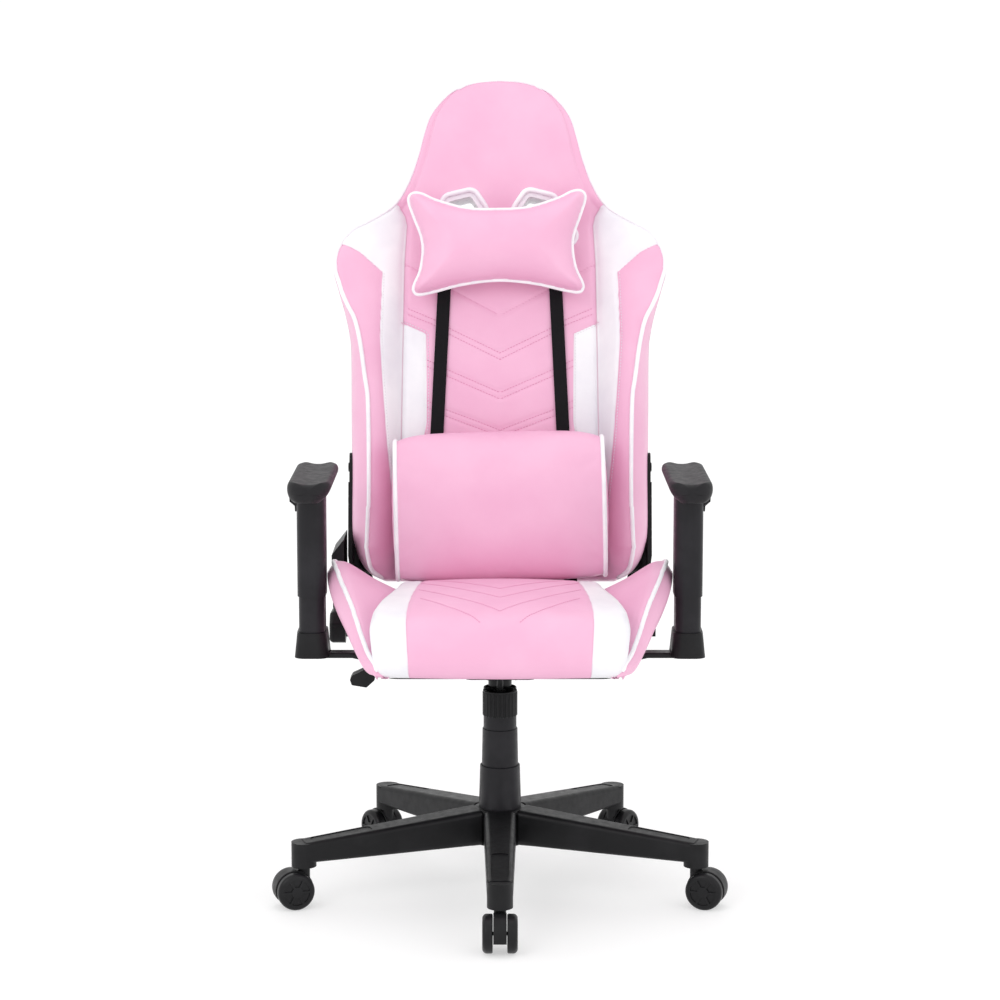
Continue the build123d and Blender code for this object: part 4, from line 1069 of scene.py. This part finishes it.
def make_lumbar():
    section = lumbar_section()
    loops = []
    columns = np.linspace(-1, 1, 88)
    for u in columns:
        taper = abs(u) ** 6
        x = np.full(len(section), u * LUMBAR_HALF_X)
        ring = section * (1 - LUMBAR_TAPER * taper)
        loops.append(np.stack([x, ring[:, 1] + LUMBAR_S - LUMBAR_SAG * taper, ring[:, 0] + LUMBAR_N], axis=1))
    for grow, bulge in LUMBAR_END:
        for sign in (-1, 1):
            ring = section * (1 - LUMBAR_TAPER) * grow
            x = np.full(len(section), sign * (LUMBAR_HALF_X + bulge))
            loop = np.stack([x, ring[:, 1] + LUMBAR_S - LUMBAR_SAG, ring[:, 0] + LUMBAR_N], axis=1)
            loops.insert(0 if sign < 0 else len(loops), loop)
    loops = np.array(loops)
    flat = loops.reshape(-1, 3)
    obj = mesh_object("lumbar_pillow_skin", lumbar_place(flat[:, 0], flat[:, 1], flat[:, 2]), skin(loops))
    outward(obj)
    rim = np.abs(np.abs(flat[:, 0]) - LUMBAR_HALF_X) < 0.01
    group = obj.vertex_groups.new(name="seam")
    group.add([int(i) for i in np.flatnonzero(rim)], 1.0, "REPLACE")
    return obj, section * (1 - LUMBAR_TAPER) - (0, LUMBAR_SAG)


lumbar, lumbar_rim = make_lumbar()
inflate(lumbar, 3.0, 10 * MM)
modify(lumbar, "SUBSURF", levels=1)
finish_piece(lumbar, "back", LEATHER_PINK, ["lumbar_pillow"])
for name, side in SIDES.items():
    rim = even(lumbar_rim * 1.012, 4.0, closed=True)
    end_x = np.full(len(rim), side * LUMBAR_HALF_X)
    path = lumbar_place(end_x, rim[:, 1] + LUMBAR_S, rim[:, 0] + LUMBAR_N)
    piece = tube(f"lumbar_pillow_piping_{name}", path, LUMBAR_PIPE_R * MM, closed=True)
    finish_piece(piece, "back", PIPING)

# ------------------------------------------------------------------ armrest pads

# section of a pad, (x out from its middle, z above the sleeve): shallow dish, steep flanks, flat keel
PAD_SECTION = [
    (-32.5, 31), (-28, 33.8), (-21, 33.2), (-11, 31.6), (0, 31), (11, 31.6), (21, 33.2), (28, 33.8),
    (32.5, 31), (34.5, 24), (34, 15), (31, 7), (26, 2), (20, 0), (0, 0), (-12, 0), (-18, 2), (-26, 9),
    (-32, 18), (-34, 25),
]
PAD_CORNER = 32
PAD_NOSE = 12
PAD_FLAT = 2.5
PAD_MIDDLE_Z = 19


def make_arm_pad(name, side):
    low, high = (np.array(corner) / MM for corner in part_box(f"armrest_pad_{name}"))
    middle_x = (low[0] + high[0]) / 2
    section = rounded(PAD_SECTION, 5, closed=True)
    turn = np.linspace(0, math.pi / 2, 16)
    near_end = PAD_CORNER * (1 - np.cos(turn))
    length = high[1] - low[1]
    straight = np.linspace(PAD_CORNER, length - PAD_CORNER, 34)[1:-1]
    reach = np.concatenate([near_end, straight, length - near_end[::-1]])
    loops = []
    for d in reach:
        end = min(d, length - d)
        round_off = max(PAD_CORNER - end, 0)
        wide = (PAD_FLAT + math.sqrt(PAD_CORNER**2 - round_off**2)) / (PAD_FLAT + PAD_CORNER)
        tall = 0.35 + 0.65 * math.sqrt(1 - (max(PAD_NOSE - end, 0) / PAD_NOSE) ** 2)
        x = middle_x + section[:, 0] * side * wide
        keel_rise = 5 * (1 - wide) * (section[:, 1] < 12)
        z = low[2] + PAD_MIDDLE_Z + (section[:, 1] - PAD_MIDDLE_Z) * tall + keel_rise
        loops.append(np.stack([x, np.full(len(x), low[1] + d), z], axis=1))
    loops = np.array(loops)
    obj = mesh_object(f"armrest_pad_skin_{name}", loops.reshape(-1, 3) * MM, skin(loops))
    outward(obj)
    return obj


for name, side in SIDES.items():
    arm_pad = make_arm_pad(name, side)
    finish_piece(arm_pad, f"arm_{name}", PAD, [f"armrest_pad_{name}"])

# ------------------------------------------------------------------ floor, light and camera

# a little light of its own keeps the floor's shadow as faint as on a white studio sweep
floor_mesh = mesh_object("floor", [(-30, -12, 0), (30, -12, 0), (30, 60, 0), (-30, 60, 0)], [(0, 1, 2, 3)])
paper = Shader("floor_paper", Roughness=0.7, Specular_IOR_Level=0.1, Emission_Strength=0.5)
paper.main.inputs["Emission Color"].default_value = (1, 1, 1, 1)
paper.material.cycles.emission_sampling = "NONE"
paper.link(paper.mix(paper.noise(3, 2), [0.52, 0.52, 0.52, 1], [0.54, 0.54, 0.54, 1]), "Base Color")
floor_mesh.data.materials.append(paper.material)

world = bpy.data.worlds.new("studio")
world.use_nodes = True
world.node_tree.nodes["Background"].inputs["Color"].default_value = (1, 1, 1, 1)
world.node_tree.nodes["Background"].inputs["Strength"].default_value = 1.04
bpy.context.scene.world = world


def softbox(name, at, toward, size, power):
    data = bpy.data.lights.new(name, "AREA")
    data.shape = "RECTANGLE"
    data.size, data.size_y = size
    data.energy = power
    light = bpy.data.objects.new(name, data)
    light.location = at
    light.rotation_euler = (Vector(toward) - Vector(at)).to_track_quat("-Z", "Y").to_euler()
    bpy.context.scene.collection.objects.link(light)


MIDDLE = (0, 0, 0.7)
softbox("key_light", (-2.2, -3.2, 2.9), MIDDLE, (1.8, 1.8), 26)
softbox("fill_light", (2.6, -2.8, 2.0), MIDDLE, (2.0, 2.0), 8)
softbox("top_light", (0, 0.2, 3.6), MIDDLE, (2.6, 2.6), 10)
bpy.context.scene.view_settings.view_transform = "Standard"

camera_data = bpy.data.cameras.new("camera")
camera_data.lens = 100.9
camera_data.sensor_width = 36
camera_data.clip_end = 60
camera = bpy.data.objects.new("camera", camera_data)
camera.location = (0, -4.456, 1.306)
camera.rotation_euler = (math.pi / 2 - 0.1477, 0, 0)
bpy.context.scene.collection.objects.link(camera)
bpy.context.scene.camera = camera
